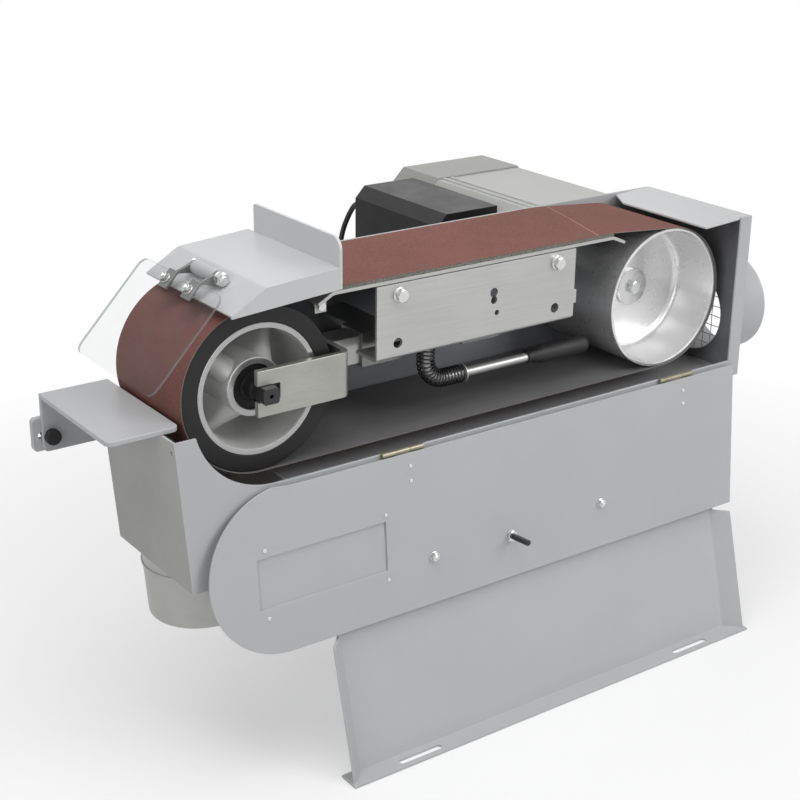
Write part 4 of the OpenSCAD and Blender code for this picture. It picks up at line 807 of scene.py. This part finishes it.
def make_belt():
    """The abrasive belt, grit outside and dark cloth inside, with thin pale edges."""
    # Depth, height over the inner face, and the look of the stretch up to the next corner
    section = [(-2.0, 0.3, "belt_edge"), (-2.0, 0.9, "belt_edge"), (-1.75, 1.2, "abrasive"),
               (157.75, 1.2, "belt_edge"), (158.0, 0.9, "belt_edge"), (158.0, 0.3, "belt_edge"),
               (157.75, 0.0, "belt_back"), (-1.75, 0.0, "belt_back")]
    loops = [[head(x, y, z) for x, z in belt_outline(o)] for y, o, _ in section]
    b = Build("abrasive_belt")
    n = len(loops[0])
    for i, (_, _, look) in enumerate(section):
        first, second = loops[i], loops[(i + 1) % len(section)]
        faces = [(j, (j + 1) % n, n + (j + 1) % n, n + j) for j in range(n)]
        b.add(first + second, faces, look)
    b.done("frame", ["belt"], "abrasive", sharp=50)


# ---------------------------------------------------------------- lever spring, lead and net
# The lever's pivot in X and Y, the height of its rod's arm and the radius of the bend
LEVER_X, LEVER_Y, LEVER_Z, LEVER_BEND = 258.0, 30.0, -54.0, 28.0
# Height of the spring's seat on the pivot, and X of its end on the arm
SPRING_TOP, SPRING_END = -5.0, 316.0
CURLS, SPRING_R, WIRE_R = 18, 11.0, 1.1
# Length of the rod from the spring's seat to the bend, and round the bend
ROD_DROP = SPRING_TOP - LEVER_Z - LEVER_BEND
ROD_TURN = LEVER_BEND * math.pi / 2


def lever_spine(s):
    """X and Z of the rod's centre line and its angle, s millimetres below the spring's seat."""
    if s < ROD_DROP:
        return 0.0, SPRING_TOP - s, 0.0
    if s < ROD_DROP + ROD_TURN:
        a = (s - ROD_DROP) / LEVER_BEND
        return LEVER_BEND * (1 - math.cos(a)), LEVER_Z + LEVER_BEND * (1 - math.sin(a)), a
    return LEVER_BEND + s - ROD_DROP - ROD_TURN, LEVER_Z, math.pi / 2


def make_spring():
    """The dark coil that runs down the pivot, round the bend and along the rod."""
    length = ROD_DROP + ROD_TURN + SPRING_END - LEVER_X - LEVER_BEND - 4 * WIRE_R
    per_curl = 20
    steps = CURLS * per_curl
    path = []
    for i in range(steps + 1):
        a = 2 * math.pi * i / per_curl
        x, z, t = lever_spine(2 * WIRE_R + length * i / steps)
        path.append(head(LEVER_X + x + SPRING_R * math.cos(a) * math.cos(t),
                         LEVER_Y + SPRING_R * math.sin(a),
                         z + SPRING_R * math.cos(a) * math.sin(t)))
    b = Build("lever_coil")
    b.tube(path, WIRE_R, "dark_steel", 10)
    b.done("lever", ["lever_spring"], "dark_steel", sharp=60)


LEAD_ROUTE = [(455, 455, 58), (455, 466, 57), (455, 482, 48), (449, 491, 28), (441, 494, 2),
              (434, 492, -40), (430, 480, -110), (432, 450, -175), (440, 400, -225),
              (450, 340, -244), (455, 280, -241), (455, 230, -232), (455, 204, -230)]
LEAD_R = 4.0


def make_lead():
    """The motor's lead, on a smooth curve through its route from gland to gland."""
    route = [head(*p) for p in LEAD_ROUTE]
    between = 6
    path = []
    for i in range(len(route) - 1):
        a = route[i - 1] if i else route[0] * 2 - route[1]
        b, c = route[i], route[i + 1]
        d = route[i + 2] if i + 2 < len(route) else route[-1] * 2 - route[-2]
        for k in range(between):
            t = k / between
            path.append(0.5 * (2 * b + (c - a) * t + (2 * a - 5 * b + 4 * c - d) * t * t
                               + (3 * b - a - 3 * c + d) * t ** 3))
    path.append(route[-1])
    b = Build("motor_cable")
    b.tube(path, LEAD_R, "lead", 20)
    b.done("frame", ["motor_lead"], "grip_rubber", sharp=60)


# The net's middle in X, Y and Z, its radius, and the pitch, radius and bow of its wires
NET_X, NET_Y, NET_Z = 760.05, 65, -55
NET_R, NET_PITCH, NET_WIRE_R, NET_BOW = 59.9, 14.5, 0.6, 0.35


def make_net():
    """The woven wire net in the side outlet."""
    b = Build("outlet_net")
    wires = int(NET_R / NET_PITCH - 0.25)
    steps = 48
    for k in range(-wires, wires + 1):
        off = k * NET_PITCH
        half = math.sqrt(NET_R ** 2 - (abs(off) + NET_WIRE_R) ** 2) - 0.1
        for way in (1, -1):
            path = []
            for i in range(steps + 1):
                t = -half + 2 * half * i / steps
                bow = NET_BOW * math.cos(math.pi * (t / NET_PITCH + k)) * way
                y, z = (off, t) if way > 0 else (t, off)
                path.append(head(NET_X + bow, NET_Y + y, NET_Z + z))
            b.tube(path, NET_WIRE_R, "bright", 8)
    b.done("frame", ["outlet_mesh"], "galvanised", sharp=60)


# ---------------------------------------------------------------- fasteners
# The guard's hinge in X and Z, the slope of the cover under it, and the hinge tube's ends in Y
GUARD_AT, GUARD_SLOPE = (-28.112, 127.98), math.radians(59.6)
TUBE_FRONT, TUBE_BACK = 34.2, 91.8
# The edge between the guard's links and the screen in X and Z, and the screws' places from it
SCREEN_AT, SCREW_DOWN, SCREW_YS = (-49, 121), 11, (45.2, 98.8)


def make_guard_bolts():
    """The bolt through the guard's hinge tube, and the two screws that hold the clear sheet."""
    b = Build("guard_bolt")
    at = head(GUARD_AT[0], 0, GUARD_AT[1])
    tip, end = TUBE_FRONT - 12.6, TUBE_BACK + 4
    b.lathe([(0, tip), (4.2, tip), (5, tip + 0.8), (5, end - 0.8), (4.4, end), (0, end)],
            at, Y, "bright", 32)
    b.thread(at, -Y, 5.02, 10 - TUBE_FRONT, 13 - TUBE_FRONT, "bright", 1.0)
    b.washer(at, Y, 5.05, 7.7, TUBE_FRONT - 2.3, TUBE_FRONT - 0.3, "bright")
    b.hexagon(at, Y, 15, TUBE_FRONT - 10.3, TUBE_FRONT - 2.3, "bright", GUARD_SLOPE)
    b.hexagon(at, Y, 15, TUBE_BACK + 0.3, TUBE_BACK + 6, "bright", GUARD_SLOPE)
    b.done("frame", ["guard_pivot_bolt"], "bright_fastener", sharp=28)

    b = Build("screen_screws")
    out = Vector(SCREEN_OUT).normalized()
    down = Vector((-out.z, 0, out.x))
    for y in SCREW_YS:
        at = head(SCREEN_AT[0], y, SCREEN_AT[1]) + down * (SCREW_DOWN * MM)
        b.lathe([(0, -3.4), (2.6, -3.3), (4.4, -2.4), (5.4, -0.9), (5.5, -0.05), (0, -0.05)],
                at, out, "bright", 40)
        b.lathe([(3, -0.05), (3, 7)], at, out, "bright", 24)
        b.washer(at, out, 3.05, 6.2, 6.02, 7.2, "bright")
        b.hexagon(at, out, 10, 7.2, 12.0, "bright", math.radians(12))
        b.thread(at, out, 2.95, 7, 15, "bright", 0.8)
    b.done("guard", ["guard_screws"], "bright_fastener", sharp=28)


# The bracket's two bolts, and the small one at its end, in X and Z; the bracket's face in Y
BRACKET_BOLTS, END_BOLT = ((193, 80.4), (439, 80.4)), (98, 76)
BRACKET_Y = -4


def make_bracket_bolts():
    """The bolts that hold the platen to its bracket."""
    b = Build("platen_bolts")
    for i, (x, z) in enumerate(BRACKET_BOLTS):
        at = head(x, BRACKET_Y, z)
        b.lathe([(0, 1), (4, 1), (4, -15.5), (3.4, -16), (0, -16)], at, -Y, "bright", 32)
        # A hexagon head on a flange that flares out to the plate
        b.lathe([(0, 0.03), (9.2, 0.03), (9.6, 0.5), (9.4, 1.2), (8.4, 1.9), (7.6, 2.6),
                 (7.4, 3.2), (0, 3.2)], at, -Y, "bright", 48)
        b.hexagon(at, -Y, 15.2, 2.0, 8.8, "bright", math.radians(14 + 23 * i))
    at = head(END_BOLT[0], 0, END_BOLT[1])
    b.lathe([(0, 18.2), (2.7, 18.2), (3, 18.6), (3, 29.5), (2.6, 30), (0, 30)], at, Y, "bright", 24)
    b.hexagon(at, Y, 10, 17, 22, "bright", math.radians(8))
    b.done("frame", ["bracket_bolts"], "bright_fastener", sharp=28)


def make_drum_bolt():
    """The large washer and the bolt in the middle of the drum."""
    b = Build("drum_screw")
    at = head(DRUM_AT[0], WEB_Y, DRUM_AT[1])
    b.lathe([(0, 0), (25.6, 0), (26, 0.4), (26, 4.4), (25.4, 5), (0, 5)], at, -Y, "bright", 80)
    b.hexagon(at, -Y, 16.6, 4.9, 12.0, "bright", math.radians(9))
    b.done("drum", ["drum_bolt"], "bright_fastener", sharp=28)


# The door's hinge in Y and Z, and how far the door stands open at rest
DOOR_HINGE = (-37.2, -104.5)
DOOR_OPEN = math.radians(175)
DOOR_INWARD = Vector((0, math.cos(DOOR_OPEN), math.sin(DOOR_OPEN)))
# Y of the closed door's inner face, and X and Z of what is fixed to it
DOOR_Y = -34.3
PULL_XS, PULL_Z, LATCH_X, LATCH_Z = (214.5, 493.0), 42.5, 338, 48


def on_door(x, y, z):
    """A point drawn on the closed door, at its open rest place."""
    dy, dz = y - DOOR_HINGE[0], z - DOOR_HINGE[1]
    c, s = math.cos(DOOR_OPEN), math.sin(DOOR_OPEN)
    return head(x, DOOR_HINGE[0] + dy * c - dz * s, DOOR_HINGE[1] + dy * s + dz * c)


def make_door_fasteners():
    """The two screws of the door's pull with their nuts, and the latch's stud with its knob."""
    b = Build("door_screws")
    for i, x in enumerate(PULL_XS):
        at = on_door(x, DOOR_Y, PULL_Z)
        b.washer(at, DOOR_INWARD, 3.05, 6.5, 0.03, 1.2, "bright")
        b.hexagon(at, DOOR_INWARD, 10, 1.2, 6, "bright", math.radians(20 + 15 * i))
        b.thread(at, DOOR_INWARD, 3.0, 0, 8, "bright", 0.8)
        b.lathe([(0, -6.0), (3, -6.0), (3, -3.0), (3, 0.5)], at, DOOR_INWARD, "bright", 24)
        b.lathe([(0, -7.5), (2.4, -7.4), (4.2, -6.4), (4.9, -5.0), (4.9, -4.5), (0, -4.5)],
                at, DOOR_INWARD, "bright", 40)
    b.done("door", ["door_nuts"], "bright_fastener", sharp=28)

    b = Build("door_stud")
    at = on_door(LATCH_X, DOOR_Y, LATCH_Z)
    b.washer(at, DOOR_INWARD, 4.1, 8.2, 0.2, 1.4, "bright")
    b.hexagon(at, DOOR_INWARD, 13.4, 1.4, 5.4, "bright", math.radians(5))
    b.lathe([(0, -3.4), (3.95, -3.4), (3.95, 10), (3.9, 10.4)], at, DOOR_INWARD, "dark_steel", 32)
    b.thread(at, DOOR_INWARD, 3.95, 10, 36.3, "dark_steel", 1.25)
    # The round knob on the outer side, with its flat grip
    b.lathe([(0, -2.75), (9, -2.75), (11.4, -3.4), (12, -4.6), (12, -12.6), (11, -14), (8, -14.5),
             (0, -14.5)], at, DOOR_INWARD, "dark_steel", 48)
    across = DOOR_INWARD.cross(X)
    grip = ((-1, -0.85), (-0.6, -1), (0.6, -1), (1, -0.85), (1, 0.85), (0.6, 1), (-0.6, 1),
            (-1, 0.85))
    b.rings([[at + DOOR_INWARD * (h * MM) + (X * (a * 3 * k) + across * (c * 9 * k)) * MM
              for a, c in grip] for h, k in ((-13.5, 1.0), (-15.8, 1.0), (-16.5, 0.8))],
            "dark_steel")
    b.done("latch", ["door_latch"], "dark_steel", sharp=28)


make_camera()
make_world()
make_light()
make_floor()
dress_cad()
make_wheel()
make_drum()
make_belt()
make_spring()
make_lead()
make_net()
make_guard_bolts()
make_bracket_bolts()
make_drum_bolt()
make_door_fasteners()

scene = bpy.context.scene
scene.view_settings.view_transform = "Standard"
